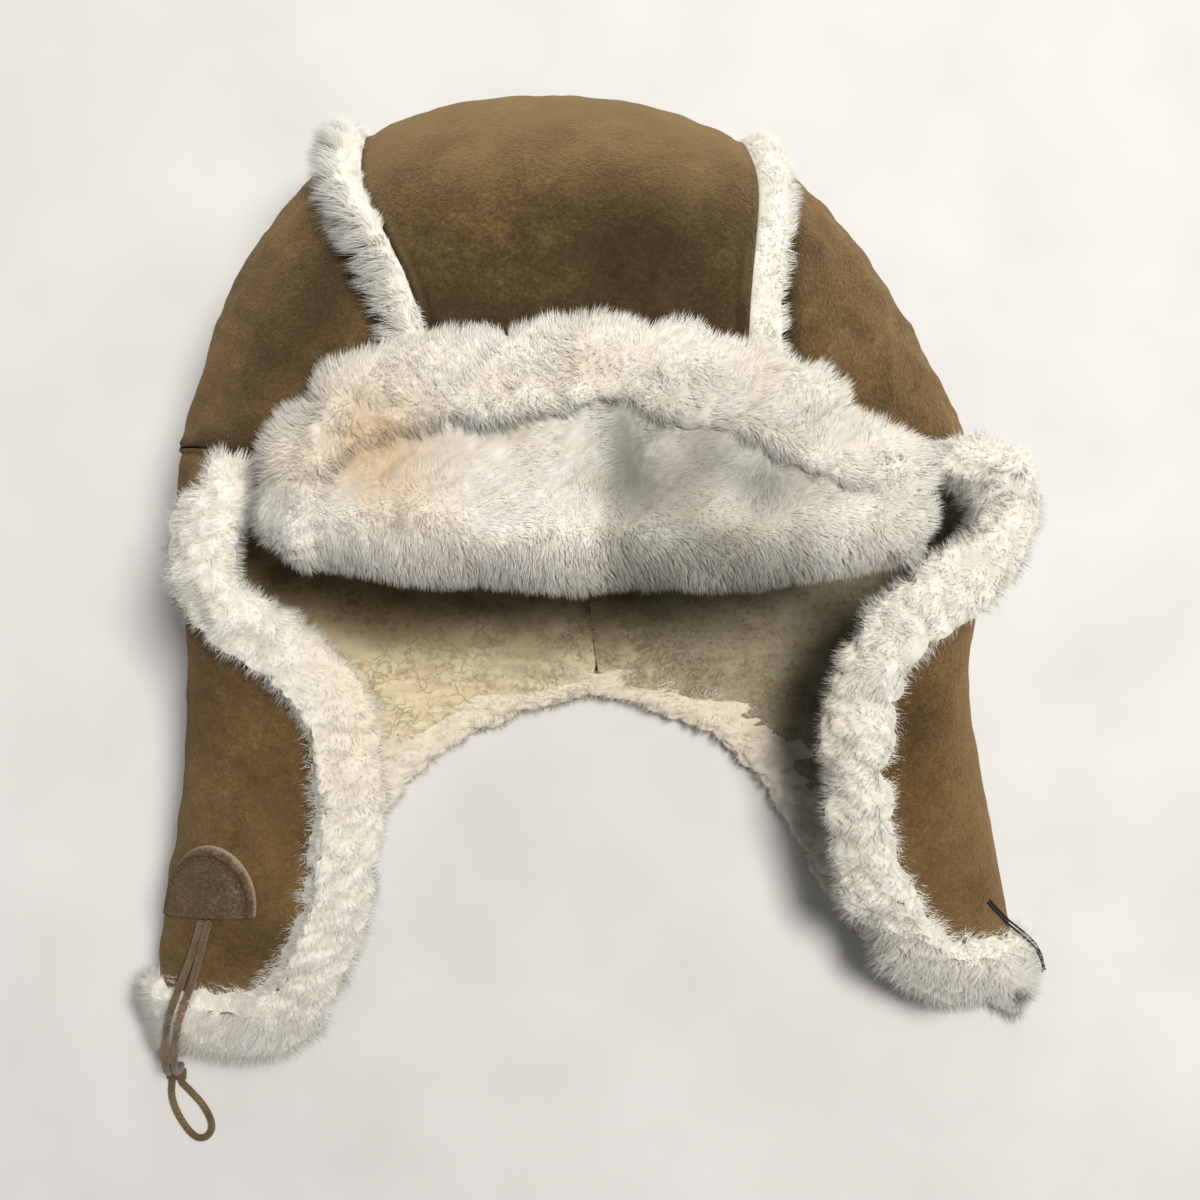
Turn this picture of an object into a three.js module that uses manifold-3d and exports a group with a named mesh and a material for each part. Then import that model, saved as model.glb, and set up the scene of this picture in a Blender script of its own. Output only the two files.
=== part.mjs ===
// A sheepskin flying helmet with ear flaps, lying on its back.
// Three suede panels make the crown, with a strip of wool standing out of each seam between
// them. A wool-faced visor is turned up over the forehead. Below a seam round the sides and the
// back hang two ear flaps, joined at the nape, and a thick roll of wool runs round their edges.
// X is across the hat, Y runs from the flaps to the top of the crown, and Z is up.
// The origin is on the surface below the crown, level with the seam at its sides.
import * as THREE from "three";
import { mergeVertices } from "three/addons/utils/BufferGeometryUtils.js";
import Module from "manifold-3d";

const wasm = await Module();
wasm.setup();

// Crown
const crownHalfWidth = 131;
const crownDepth = 114; // side seam to the top
const crownMiddle = 64; // height of the widest line
const crownFrontRise = 54; // widest line to the forehead
const crownBulge = 45; // how much further the front of the crown swells
const crownBackDrop = 78; // widest line to the back, before the surface flattens it
const crownLean = 10; // how far the top leans to the left
const crownPower = 2.15; // 2 is an ellipse, more is squarer
const crownTaperLeft = 0.095; // share by which the crown narrows toward its top
const crownTaperRight = 0.165;
const foreheadDrop = 25; // how far the front edge reaches below the side seam
const napeDrop = 20; // how far the back seam lies below the side seam
const seamLeftRim = 48; // middle to a crown seam at the forehead, before the crown tapers
const seamLeftTop = 72; // middle to a crown seam at the top
const seamRightRim = 63;
const seamRightTop = 76;
const floorPress = 4; // depth over which the surface rounds off into the flat back

// Skin and wool
const leather = 2;
const pile = 10;
const gap = 0.4;
const woolGap = 0.95; // leather to the wool that grows on it
const seamGap = 0.8;
const rollGap = 0.85; // edge of the skin to its wool roll

// Wool strips in the crown seams
const stripWidth = 12;
const stripRise = 7;
const stripPressed = 0.5; // share of the rise that is left under the visor

// Visor
const visorFold = 27; // how far the fold lies below the side seam
const visorFoldLift = 9; // how much higher the fold lies at its ends
const visorLeft = 79; // middle to the fold's left end
const visorRight = 93;
const visorReach = 50;
const visorFoldRadius = 4.75;
const visorPile = 13;
const visorRoll = 20; // width of the wool roll along the edge
const visorRollHalf = 10.5; // half of its thickness

// Ear flaps
const flapLength = 195; // side seam to the end of the skin
const flapHeight = 100; // surface to the front edge near the temple
const flapPile = 8;
const templeLeft = 36; // degrees round the crown from its side to the flap's front corner
const templeRight = 34;
const frontRoll = 21; // width of the wool roll along the front edge
const frontRollHalf = 10.5;
const tipRoll = 27; // width across the flap's end
const rearRoll = 14;
const rearRollHalf = 7;
const rollLumps = 1.2; // how far single locks stand out

// Loop patch
const patchWidth = 40;
const patchHeight = 25;
const patchThickness = 1.6;

// Elastic loop
const loopDiameter = 2.6;
const bindingWall = 0.8;
const bindingLength = 4;

const { abs, cos, sin, PI, sign, min, max, hypot } = Math;
const rad = (degrees) => (degrees * PI) / 180;
const clamp = (x, low, high) => min(high, max(low, x));
const mix = (a, b, w) => a + (b - a) * w;
const smooth = (low, high, x) => {
  const w = clamp((x - low) / (high - low), 0, 1);
  return w * w * (3 - 2 * w);
};
const steps = (n, from = 0, to = 1) => Array.from({ length: n + 1 }, (_, i) => mix(from, to, i / n));
const vec = (x, y, z) => new THREE.Vector3(x, y, z);
const raised = (x, power) => sign(x) * abs(x) ** power;
// A wavy number between -1 and 1 that stands for the unevenness of locks of wool
const locks = (a, b) => 0.5 * sin(5.1 * a + 2.3 * sin(1.7 * b)) + 0.5 * sin(3.7 * b + 1.9 * sin(2.3 * a) + 1);

// A smooth curve through the rows of a table, with every column interpolated alike
const alongTable = (rows, at) => {
  const i = clamp(Math.floor(at), 0, rows.length - 2);
  const w = at - i;
  const [a, b, c, d] = [max(i - 1, 0), i, i + 1, min(i + 2, rows.length - 1)].map((k) => rows[k]);
  return b.map((_, k) => {
    const inward = (c[k] - a[k]) / 2;
    const outward = (d[k] - b[k]) / 2;
    const bend = 3 * (c[k] - b[k]) - 2 * inward - outward;
    return b[k] + w * (inward + w * (bend + w * (2 * (b[k] - c[k]) + inward + outward)));
  });
};

// A closed solid between two grids of points with the same rows and columns.
// Points that coincide are merged, so a grid may end in a single point.
const solidBetween = (outer, inner) => {
  const rows = outer.length;
  const columns = outer[0].length;
  const known = new Map();
  const positions = [];
  const indices = [];
  const indexOf = (p) => {
    const key = [p.x, p.y, p.z].map((v) => Math.round(v * 2000)).join();
    if (!known.has(key)) {
      known.set(key, positions.length / 3);
      positions.push(p.x, p.y, p.z);
    }
    return known.get(key);
  };
  const triangle = (a, b, c) => {
    const [i, j, k] = [indexOf(a), indexOf(b), indexOf(c)];
    if (i !== j && j !== k && k !== i) indices.push(i, j, k);
  };
  const quad = (a, b, c, d) => {
    if (a.distanceTo(c) < b.distanceTo(d)) {
      triangle(a, b, c);
      triangle(a, c, d);
    } else {
      triangle(a, b, d);
      triangle(b, c, d);
    }
  };
  for (let i = 0; i < rows - 1; i += 1) {
    for (let j = 0; j < columns - 1; j += 1) {
      quad(outer[i][j], outer[i + 1][j], outer[i + 1][j + 1], outer[i][j + 1]);
      quad(inner[i][j], inner[i][j + 1], inner[i + 1][j + 1], inner[i + 1][j]);
    }
    quad(outer[i][0], inner[i][0], inner[i + 1][0], outer[i + 1][0]);
    const last = columns - 1;
    quad(outer[i][last], outer[i + 1][last], inner[i + 1][last], inner[i][last]);
  }
  for (let j = 0; j < columns - 1; j += 1) {
    quad(outer[0][j], outer[0][j + 1], inner[0][j + 1], inner[0][j]);
    const last = rows - 1;
    quad(outer[last][j], inner[last][j], inner[last][j + 1], outer[last][j + 1]);
  }
  return facedOutward(positions, indices);
};

// A mesh whose faces all point outward, judged by the sign of its volume
const facedOutward = (positions, indices) => {
  const at = (i) => vec(...positions.slice(3 * i, 3 * i + 3));
  let volume = 0;
  for (let k = 0; k < indices.length; k += 3) {
    volume += at(indices[k]).dot(at(indices[k + 1]).cross(at(indices[k + 2])));
  }
  const order = volume > 0 ? indices : indices.slice().reverse();
  const geometry = new THREE.BufferGeometry();
  geometry.setAttribute("position", new THREE.Float32BufferAttribute(positions, 3));
  geometry.setIndex(order);
  geometry.computeVertexNormals();
  return geometry;
};

// An extruded shape with its coinciding corners merged
const closedBody = (geometry) => {
  const bare = geometry.clone();
  bare.deleteAttribute("normal");
  bare.deleteAttribute("uv");
  const merged = mergeVertices(bare, 1e-3);
  return facedOutward([...merged.attributes.position.array], [...merged.index.array]);
};

// One closed shape less another, as the largest single body that is left
const carved = (geometry, cutter) => {
  const solidOf = (shape) => {
    const bare = shape.clone();
    bare.deleteAttribute("normal");
    const merged = mergeVertices(bare, 1e-3);
    const vertProperties = merged.attributes.position.array;
    return new wasm.Manifold(new wasm.Mesh({ numProp: 3, vertProperties, triVerts: new Uint32Array(merged.index.array) }));
  };
  const left = solidOf(geometry).subtract(solidOf(cutter)).simplify(0.02);
  const [body] = left.decompose().sort((a, b) => b.volume() - a.volume());
  const mesh = body.getMesh();
  const result = new THREE.BufferGeometry();
  result.setAttribute("position", new THREE.Float32BufferAttribute(mesh.vertProperties, 3));
  result.setIndex([...mesh.triVerts]);
  result.computeVertexNormals();
  return result;
};

// Materials
const suede = (name, color) => new THREE.MeshStandardMaterial({ name, color, roughness: 0.92, metalness: 0 });
const wool = (name, color) => new THREE.MeshStandardMaterial({ name, color, roughness: 1, metalness: 0 });
const crownSuede = suede("crown_suede", 0x8c6a3f);
const flapSuede = suede("flap_suede", 0x8f6c42);
const patchSuede = suede("patch_suede", 0x6f5530);
const creamWool = wool("cream_wool", 0xe9e2cf);
const liningWool = wool("lining_wool", 0xd8c9a2);
const elastic = new THREE.MeshStandardMaterial({ name: "elastic", color: 0x9a7645, roughness: 0.8, metalness: 0 });

const group = new THREE.Group();
group.name = "flying_helmet";
const add = (name, geometry, material) => {
  const mesh = new THREE.Mesh(geometry, material);
  mesh.name = name;
  group.add(mesh);
};

// Crown
// A point is named by its share across (-1 to 1), its share of the way from the rim to the top
// (0 to 1), the share of the height that is left, and its depth below the outer surface.
const pressedFlat = (h) => (h < -floorPress ? 0 : h > floorPress ? h : (h + floorPress) ** 2 / (4 * floorPress));
const rimAt = (across, height) => {
  const steep = abs(height) / (hypot(across, height) + 1e-9);
  return height > 0 ? -foreheadDrop * steep ** 4 : -napeDrop * steep ** 2;
};
const dents = [
  // across, height above the back, how far it reaches across and up, depth as a share of the bulge
  { across: -0.57, up: 50, reach: 0.12, tall: 24, depth: 0.17 },
  { across: 0.1, up: 62, reach: 0.28, tall: 13, depth: 0.11 },
  { across: -0.8, up: 38, reach: 0.12, tall: 20, depth: 0.06 },
  { across: 0.72, up: 55, reach: 0.12, tall: 16, depth: 0.05 },
];
const crownPoint = (across, towardTop, height, depth = 0) => {
  const swell = crownBulge * smooth(0, 0.75, towardTop);
  const rise = (height > 0 ? crownFrontRise + swell : crownBackDrop) - depth;
  const up = (height > 0 ? 1 : -1) * (180 / PI) * Math.atan2(abs(height), towardTop + 1e-9);
  const deeper = depth > leather ? 1.15 : 1; // wool is pressed a little more in a hollow
  const hollow = deeper * dents.reduce((sum, d) => {
    const away = ((across - d.across) / d.reach) ** 2 + ((up - d.up) / d.tall) ** 2;
    return sum + d.depth * crownBulge * Math.exp(-away);
  }, 0);
  const taper = mix(crownTaperLeft, crownTaperRight, (across + 1) / 2) * (1 - (1 - towardTop) ** 2.5);
  const x = (crownHalfWidth - depth) * across * (1 - taper) - crownLean * towardTop ** 2;
  const y = mix(rimAt(across, height), crownDepth - depth - 0.5 * hollow, towardTop);
  const z = pressedFlat(crownMiddle + height * rise - depth) + depth - hollow * max(height, 0);
  return vec(x, y, z);
};
// The same point by degrees of elevation: 90 is the forehead's rim, 0 the top, -90 the back's rim
const crownAt = (across, elevation, depth) => {
  const share = max(0, 1 - abs(across) ** crownPower) ** (1 / crownPower);
  const towardTop = share * max(0, cos(rad(elevation))) ** (2 / crownPower);
  const height = share * raised(sin(rad(elevation)), 2 / crownPower);
  return crownPoint(across, towardTop, height, depth);
};
const seamAt = (side, elevation) => {
  const [rim, top] = side < 0 ? [seamLeftRim, seamLeftTop] : [seamRightRim, seamRightTop];
  return (side * mix(rim, top, smooth(80, 35, abs(elevation)))) / crownHalfWidth;
};
const stripHalf = stripWidth / 2 / crownHalfWidth;
const gapShare = gap / crownHalfWidth;

// Crown panels: the middle one lies between the two seams, the others end at the sides
const crownRows = steps(20, 90, -90);
const panel = (acrossAt, rows, columns) => {
  const layer = (depth) => rows.map((elevation) => steps(columns).map((w) => crownAt(acrossAt(elevation, w), elevation, depth)));
  return solidBetween(layer(0), layer(leather));
};
const middlePanel = (elevation, w) => mix(seamAt(-1, elevation) + stripHalf, seamAt(1, elevation) - stripHalf, w);
const sidePanel = (side) => (elevation, w) => {
  const from = Math.asin(side * seamAt(side, elevation) + stripHalf);
  return side * sin(mix(from, PI / 2, w));
};
add("crown_centre_panel", panel(middlePanel, crownRows, 10), crownSuede);
add("crown_left_panel", panel(sidePanel(-1), crownRows, 8), crownSuede);
add("crown_right_panel", panel(sidePanel(1), crownRows, 7), crownSuede);

// Wool lining of the crown, uneven on its inner side
const liningLayer = (depthAt) => crownRows.map((elevation) =>
  steps(15, -PI / 2, PI / 2).map((turn) => crownAt(sin(turn), elevation, depthAt(turn, elevation / 20))));
add("crown_pile", solidBetween(
  liningLayer((a, b) => leather + woolGap + 0.1 * smooth(0, 0.4, cos(a)) * smooth(1, 3, -b)),
  liningLayer((a, b) => leather + woolGap + pile + smooth(0, 0.4, cos(a)) * rollLumps * locks(3 * a, b)),
), liningWool);

// Wool strips that stand out of the two crown seams; they are low under the visor and flat
// where the hat rests on them
const strip = (side, seed) => {
  const rows = crownRows.map((elevation) => clamp(elevation, -89, 89));
  const riseAt = (elevation, w) => {
    const bare = crownAt(seamAt(side, elevation), elevation, 0);
    const underVisor = mix(stripPressed, 1, smooth(62, 50, elevation));
    const onFloor = elevation > 0 ? 1 : smooth(1, 14, bare.z);
    const crest = 0.45 + 0.55 * sin(PI * clamp(w, 0.2, 0.8));
    return onFloor * crest * (stripRise * underVisor + rollLumps * locks(elevation / 4, seed + 4 * w));
  };
  const point = (elevation, w, depth) => {
    const half = stripHalf - gapShare;
    return crownAt(seamAt(side, elevation) + mix(-half, half, w), elevation, depth);
  };
  const crest = rows.map((elevation) => steps(3).map((w) => point(elevation, w, -riseAt(elevation, w))));
  const foot = rows.map((elevation) => steps(3).map((w) => point(elevation, w, leather)));
  return solidBetween(crest, foot);
};
add("left_seam_fur", strip(-1, 0), creamWool);
add("right_seam_fur", strip(1, 2), creamWool);

// Visor
// A point is named by its place in plan and its height above the crown's outer surface.
const overCrown = (x, y, above) => {
  let across = clamp(x / (crownHalfWidth + above), -0.99, 0.99);
  let towardTop = 0;
  for (let k = 0; k < 4; k += 1) {
    const height = max(0, 1 - abs(across) ** crownPower - towardTop ** crownPower) ** (1 / crownPower);
    const rim = rimAt(across, height);
    towardTop = max(0, (y - rim) / (crownDepth + above - rim));
    const taper = mix(crownTaperLeft, crownTaperRight, (across + 1) / 2) * (1 - (1 - towardTop) ** 2.5);
    across = clamp((x + crownLean * towardTop ** 2) / (crownHalfWidth + above) / (1 - taper), -0.97, 0.97);
  }
  const height = max(0, 1 - abs(across) ** crownPower - towardTop ** crownPower) ** (1 / crownPower);
  const swell = crownBulge * smooth(0, 0.75, towardTop);
  return vec(x, y, crownMiddle + height * (crownFrontRise + swell + above));
};
// Upper edge of the visor's skin from left to right: across, and up as a share of its reach
const visorEdge = [
  [-0.58, -0.24], [-0.527, -0.06], [-0.443, 0.05], [-0.336, 0.11], [-0.153, 0.15],
  [0.061, 0.22], [0.26, 0.15], [0.397, 0.07], [0.504, -0.08], [0.595, -0.2], [0.672, -0.27],
];
const visorColumns = steps(14);
const foldPoint = (w) => ({
  x: mix(-visorLeft, visorRight, w),
  y: -visorFold + visorFoldLift * abs(2 * w - 1) ** 3,
});
const visorPlan = (w, up) => {
  const [edgeX, edgeY] = alongTable(visorEdge, w * (visorEdge.length - 1));
  const fold = foldPoint(w);
  return { x: mix(fold.x, edgeX * crownHalfWidth, up), y: mix(fold.y, edgeY * visorReach, up) };
};
const foldHeight = 2 * visorFoldRadius;
// One row of the visor round its fold: degrees from below (-90) to above (90), at a radius
const foldRow = (degrees, radius) => visorColumns.map((w) => {
  const fold = foldPoint(w);
  const above = visorFoldRadius + radius * sin(rad(degrees));
  return overCrown(fold.x, fold.y - radius * cos(rad(degrees)), above).setY(fold.y - radius * cos(rad(degrees)));
});
const visorRow = (up, above) => visorColumns.map((w) => {
  const { x, y } = visorPlan(w, up);
  return overCrown(x, y, above);
});
// The seam row lies against the crown's front edge
const visorSeamRow = (above) => visorColumns.map((w) => {
  const { x } = foldPoint(w);
  const across = x / crownHalfWidth;
  const height = max(0, 1 - abs(across) ** crownPower) ** (1 / crownPower);
  return overCrown(x, rimAt(across, height) - gap, above).setY(rimAt(across, height) - gap);
});
const visorUps = [0.2, 0.4, 0.6, 0.8, 1];
add("visor_backing", solidBetween(
  [visorSeamRow(-leather), foldRow(-90, visorFoldRadius + leather), foldRow(-30, visorFoldRadius + leather),
    foldRow(30, visorFoldRadius + leather), foldRow(90, visorFoldRadius + leather),
    ...visorUps.map((up) => visorRow(up, foldHeight + leather))],
  [visorSeamRow(0), foldRow(-90, visorFoldRadius), foldRow(-30, visorFoldRadius),
    foldRow(30, visorFoldRadius), foldRow(90, visorFoldRadius),
    ...visorUps.map((up) => visorRow(up, foldHeight))],
), crownSuede);
const furBase = visorFoldRadius + leather + woolGap;
const furTop = (degrees) => furBase + visorPile * smooth(-130, 30, degrees);
const foldTurns = [-45, 0, 45, 90];
const visorTop = [...foldTurns.map((degrees) => foldRow(degrees, furTop(degrees))),
  ...visorUps.map((up) => visorRow(up, foldHeight + leather + woolGap + visorPile))];
const visorUnder = (radius, above) => [...foldTurns.map((degrees) => foldRow(degrees, radius)),
  ...visorUps.map((up) => visorRow(up, above))];
add("visor_fur", solidBetween(visorTop, visorUnder(furBase, foldHeight + leather + woolGap)), creamWool);

// Wool rolls
// A closed solid from rings of points
const solidOfRings = (rings) => {
  const positions = rings.flat().flatMap((p) => [p.x, p.y, p.z]);
  const sides = rings[0].length;
  const indices = [];
  for (let i = 0; i < rings.length - 1; i += 1) {
    for (let j = 0; j < sides; j += 1) {
      const next = (j + 1) % sides;
      const [a, b, c, d] = [i * sides + j, (i + 1) * sides + j, (i + 1) * sides + next, i * sides + next];
      indices.push(a, b, c, a, c, d);
    }
  }
  const last = (rings.length - 1) * sides;
  for (let j = 1; j < sides - 1; j += 1) {
    indices.push(0, j, j + 1);
    indices.push(last, last + j + 1, last + j);
  }
  return facedOutward(positions, indices);
};
// The section has a flat back against the edge of the skin and its wool, and a round front
const sectionTurns = [-90, -50, -17, 17, 50, 90];
// Each place is a point of the grids' border and its neighbour one step further in
const borderRoll = (outer, inner, places, sizeAt, seed, endOut) => {
  const path = places.map(([i, j, inI, inJ]) => {
    const at = outer[i][j].clone().lerp(inner[i][j], 0.5);
    const within = outer[inI][inJ].clone().lerp(inner[inI][inJ], 0.5);
    const up = outer[i][j].clone().sub(inner[i][j]);
    return { at, out: at.clone().sub(within).normalize(), up: up.clone().normalize(), skinHalf: up.length() / 2 };
  });
  const lengths = path.map((_, k) => (k ? path[k].at.distanceTo(path[k - 1].at) : 0));
  const total = lengths.reduce((sum, length) => sum + length, 0);
  let length = 0;
  const rings = path.map((p, k) => {
    length += lengths[k];
    const before = path[max(k - 1, 0)];
    const after = path[min(k + 1, path.length - 1)];
    const forward = after.at.clone().sub(before.at).normalize();
    const out = before.out.clone().add(after.out).addScaledVector(p.out, 2);
    if (endOut && k === path.length - 1) out.copy(endOut);
    out.addScaledVector(p.up, -out.dot(p.up));
    if (k > 0 && k < path.length - 1) out.addScaledVector(forward, -out.dot(forward));
    out.normalize();
    const { width, half } = sizeAt(length / total);
    const stand = max(half, p.skinHalf);
    return sectionTurns.map((turn) => {
      const lump = 1 + (rollLumps / frontRollHalf) * locks(length / 7, seed + turn / 30);
      const reach = rollGap + (width - rollGap) * cos(rad(turn)) * lump;
      const across = stand * sin(rad(turn)) * lump;
      const point = p.at.clone().addScaledVector(out, reach).addScaledVector(p.up, across);
      return point.setZ(max(point.z, 0));
    });
  });
  return solidOfRings(rings);
};

// Visor's edge roll: up its left end, along the top and down its right end
const topRow = visorTop.length - 1;
const endColumn = visorColumns.length - 1;
const visorPlaces = [
  ...steps(topRow - 1, 0, topRow - 1).map((i) => [i, 0, i, 1]),
  [topRow, 0, topRow - 1, 1],
  ...steps(endColumn - 2, 1, endColumn - 1).map((j) => [topRow, j, topRow - 1, j]),
  [topRow, endColumn, topRow - 1, endColumn - 1],
  ...steps(topRow - 1, topRow - 1, 0).map((i) => [i, endColumn, i, endColumn - 1]),
];
const visorSizes = (w) => {
  const fromEnd = smooth(0, 0.25, min(w, 1 - w));
  return { width: mix(0.62, 1, fromEnd) * visorRoll, half: mix(0.85, 1, fromEnd) * visorRollHalf };
};
add("visor_edge_fur", borderRoll(visorTop, visorUnder(visorFoldRadius, foldHeight), visorPlaces, visorSizes, 0), creamWool);

// Ear flaps
// Each row runs from the rear edge on the surface, round the outer bend, to the front edge.
// Columns: rear across and down, bend across, down and up, front across, down and up, each as
// a share of the crown's half width, the flap's length and the flap's height, and then the
// lean of the front edge in degrees above level. Front is the middle of the wool roll.
const leftRows = [
  [-0.031, 0.267, 1.015, 0.082, 0.6, 0.84, 0.095, 1.02, 78],
  [-0.053, 0.39, 1.008, 0.179, 0.58, 0.865, 0.165, 0.98, 66],
  [0.275, 0.45, 1, 0.282, 0.54, 0.84, 0.246, 0.92, 48],
  [0.443, 0.51, 1.008, 0.385, 0.5, 0.71, 0.323, 0.86, 20],
  [0.58, 0.59, 1.023, 0.487, 0.46, 0.58, 0.421, 0.78, 5],
  [0.687, 0.708, 1.046, 0.615, 0.4, 0.55, 0.559, 0.7, 0],
  [0.779, 0.8, 1.092, 0.744, 0.34, 0.58, 0.703, 0.6, -5],
  [0.87, 0.887, 1.122, 0.846, 0.28, 0.634, 0.836, 0.49, -5],
  [0.947, 0.944, 1.145, 0.913, 0.22, 0.71, 0.918, 0.41, -8],
  [1.015, 0.974, 1.153, 0.959, 0.18, 0.794, 0.974, 0.34, -8],
];
const rightRows = [
  [0.031, 0.267, 1, 0.062, 0.57, 0.985, 0.015, 1.04, 85],
  [0.053, 0.39, 1.038, 0.144, 0.54, 1.055, 0.062, 1.02, 85],
  [0.382, 0.45, 1.023, 0.231, 0.52, 1.062, 0.123, 0.97, 78],
  [0.504, 0.50, 1.015, 0.318, 0.5, 0.977, 0.185, 0.92, 58],
  [0.595, 0.565, 1.015, 0.385, 0.48, 0.85, 0.246, 0.86, 30],
  [0.672, 0.645, 1.031, 0.451, 0.45, 0.74, 0.328, 0.78, 10],
  [0.733, 0.728, 1.061, 0.538, 0.41, 0.695, 0.441, 0.7, 0],
  [0.786, 0.779, 1.099, 0.641, 0.36, 0.695, 0.564, 0.62, -5],
  [0.863, 0.836, 1.137, 0.744, 0.3, 0.733, 0.697, 0.53, -5],
  [0.947, 0.882, 1.168, 0.821, 0.24, 0.817, 0.805, 0.44, -8],
  [1.023, 0.913, 1.191, 0.872, 0.19, 0.931, 0.872, 0.35, -8],
];
const napeHem = 2; // the row whose rear end is the corner of the nape's hem
const bendAt = 0.56; // share of a row's columns that lies between the rear edge and the bend

const flap = (side, rows, temple) => {
  // The rim of the crown, which the first row follows
  const rim = (w, depth) => {
    const turn = w < bendAt ? mix(-90, 0, w / bendAt) : mix(0, temple, (w - bendAt) / (1 - bendAt));
    const across = side * max(0, cos(rad(turn))) ** (2 / crownPower);
    const height = raised(sin(rad(turn)), 2 / crownPower);
    const p = crownPoint(across, 0, height, depth);
    return p.setY(p.y - seamGap);
  };
  const corner = rim(1, 0);
  const firstRow = [0, (napeDrop + seamGap) / flapLength, 1, seamGap / flapLength, crownMiddle / flapHeight,
    abs(corner.x) / crownHalfWidth, -corner.y / flapLength, corner.z / flapHeight, 60];
  const table = [firstRow, ...rows];
  const freeAt = (row, w) => {
    const [rearX, rearY, bendX, bendY, bendZ, frontX, frontY, frontZ, lean] = alongTable(table, row);
    const split = side * gap;
    const hem = table[napeHem];
    const down = min(row / napeHem, 1);
    const seam = vec(side * hem[0] * crownHalfWidth * down, -mix(firstRow[1], hem[1], down) * flapLength, 0);
    const rear = row < napeHem ? seam : vec(side * rearX * crownHalfWidth, -rearY * flapLength, 0);
    rear.x += split;
    const bend = vec(side * bendX * crownHalfWidth, -bendY * flapLength, bendZ * flapHeight);
    const front = vec(side * frontX * crownHalfWidth, -frontY * flapLength, frontZ * flapHeight);
    const inward = vec(front.x - bend.x, front.y - bend.y, 0);
    const lying = cos(rad(lean));
    const out = inward.clone().normalize().multiplyScalar(lying).setZ(sin(rad(lean)));
    const setBack = smooth(0, 1, row) * frontRoll * 0.5;
    const outerSide = smooth(0, 1, row) * (leather + flapPile) * 0.5;
    const edge = front.clone().addScaledVector(out, -setBack);
    edge.addScaledVector(inward.normalize(), -outerSide * sin(rad(lean)));
    edge.z += outerSide * lying;
    let p;
    if (w < bendAt) {
      const turn = rad(90 * (w / bendAt));
      const flat = raised(sin(turn), 2 / 2.4);
      const climb = 1 - raised(cos(turn), 2 / 2.4);
      p = vec(mix(rear.x, bend.x, flat), mix(rear.y, bend.y, flat), bend.z * climb);
    } else {
      const whole = rad(max(25, 90 - max(lean, 0)));
      const turn = whole * ((w - bendAt) / (1 - bendAt));
      const over = (1 - cos(turn)) / (1 - cos(whole));
      const climb = sin(turn) / sin(whole);
      p = vec(mix(bend.x, edge.x, over), mix(bend.y, edge.y, over), mix(bend.z, edge.z, climb));
    }
    return p;
  };
  const at = (row, w) => {
    const toRim = rim(w, 0).sub(freeAt(0, w));
    return freeAt(row, w).addScaledVector(toRim, 1 - smooth(0, 2, row));
  };
  // The direction out of the suede side; at the crown's seam it has no part along the seam
  const outward = (row, w) => {
    const step = 0.02;
    const down = at(min(row + step, table.length - 1), w).sub(at(max(row - step, 0), w));
    const round = at(row, min(w + step, 1)).sub(at(row, max(w - step, 0)));
    const normal = down.cross(round).multiplyScalar(-side);
    normal.y *= smooth(-0.3, 1.2, row);
    return normal.normalize();
  };
  const surface = (row, w, depth) => {
    const p = at(row, w);
    return p.addScaledVector(outward(row, w), -depth);
  };
  return { surface, outward, lastRow: table.length - 1 };
};

const hemAt = 3; // grid row of the nape's hem
const flapRows = (shape) => {
  const below = Math.round(1.5 * (shape.lastRow - napeHem));
  return [...steps(hemAt, 0, napeHem), ...steps(below, napeHem, shape.lastRow).slice(1)];
};
const flapColumns = [...steps(7, 0, bendAt), ...steps(6, bendAt, 1).slice(1)];
const flapLayer = (shape, depthAt) => flapRows(shape).map((row) =>
  flapColumns.map((w) => shape.surface(row, w, depthAt(row / shape.lastRow, w))));
const flapSkin = (shape) => solidBetween(flapLayer(shape, () => 0), flapLayer(shape, () => leather));
// The wool is thinner toward the end and toward the front edge, where the roll covers it
const woolDepth = (row, w) => mix(1, 0.7, smooth(0.6, 1, row)) * mix(1, 0.2, smooth(0.7, 1, w)) * flapPile;
const flapWool = (shape) => solidBetween(
  flapLayer(shape, () => leather + woolGap),
  flapLayer(shape, (row, w) => {
    const inside = smooth(0, 0.2, min(w, 1 - w, 1 - row));
    return leather + woolGap + woolDepth(row, w) + inside * rollLumps * locks(9 * row, 4 * w);
  }),
);

// The room that a flap takes with its clearance, which its wool roll keeps out of
const flapRoom = (shape) => {
  const grown = (grid) => {
    const further = (p, q) => p.clone().addScaledVector(p.clone().sub(q).normalize(), rollGap);
    const wide = grid.map((line) => {
      const last = line.length - 1;
      return [further(line[0], line[1]), ...line.slice(1, last), further(line[last], line[last - 1])];
    });
    const last = wide.length - 1;
    return [...wide.slice(0, last), wide[last].map((p, j) => further(p, wide[last - 1][j]))];
  };
  return solidBetween(
    grown(flapLayer(shape, () => -gap)),
    grown(flapLayer(shape, (row, w) => leather + woolGap + woolDepth(row, w) + 1.5 * rollLumps + 2 * gap)),
  );
};
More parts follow.
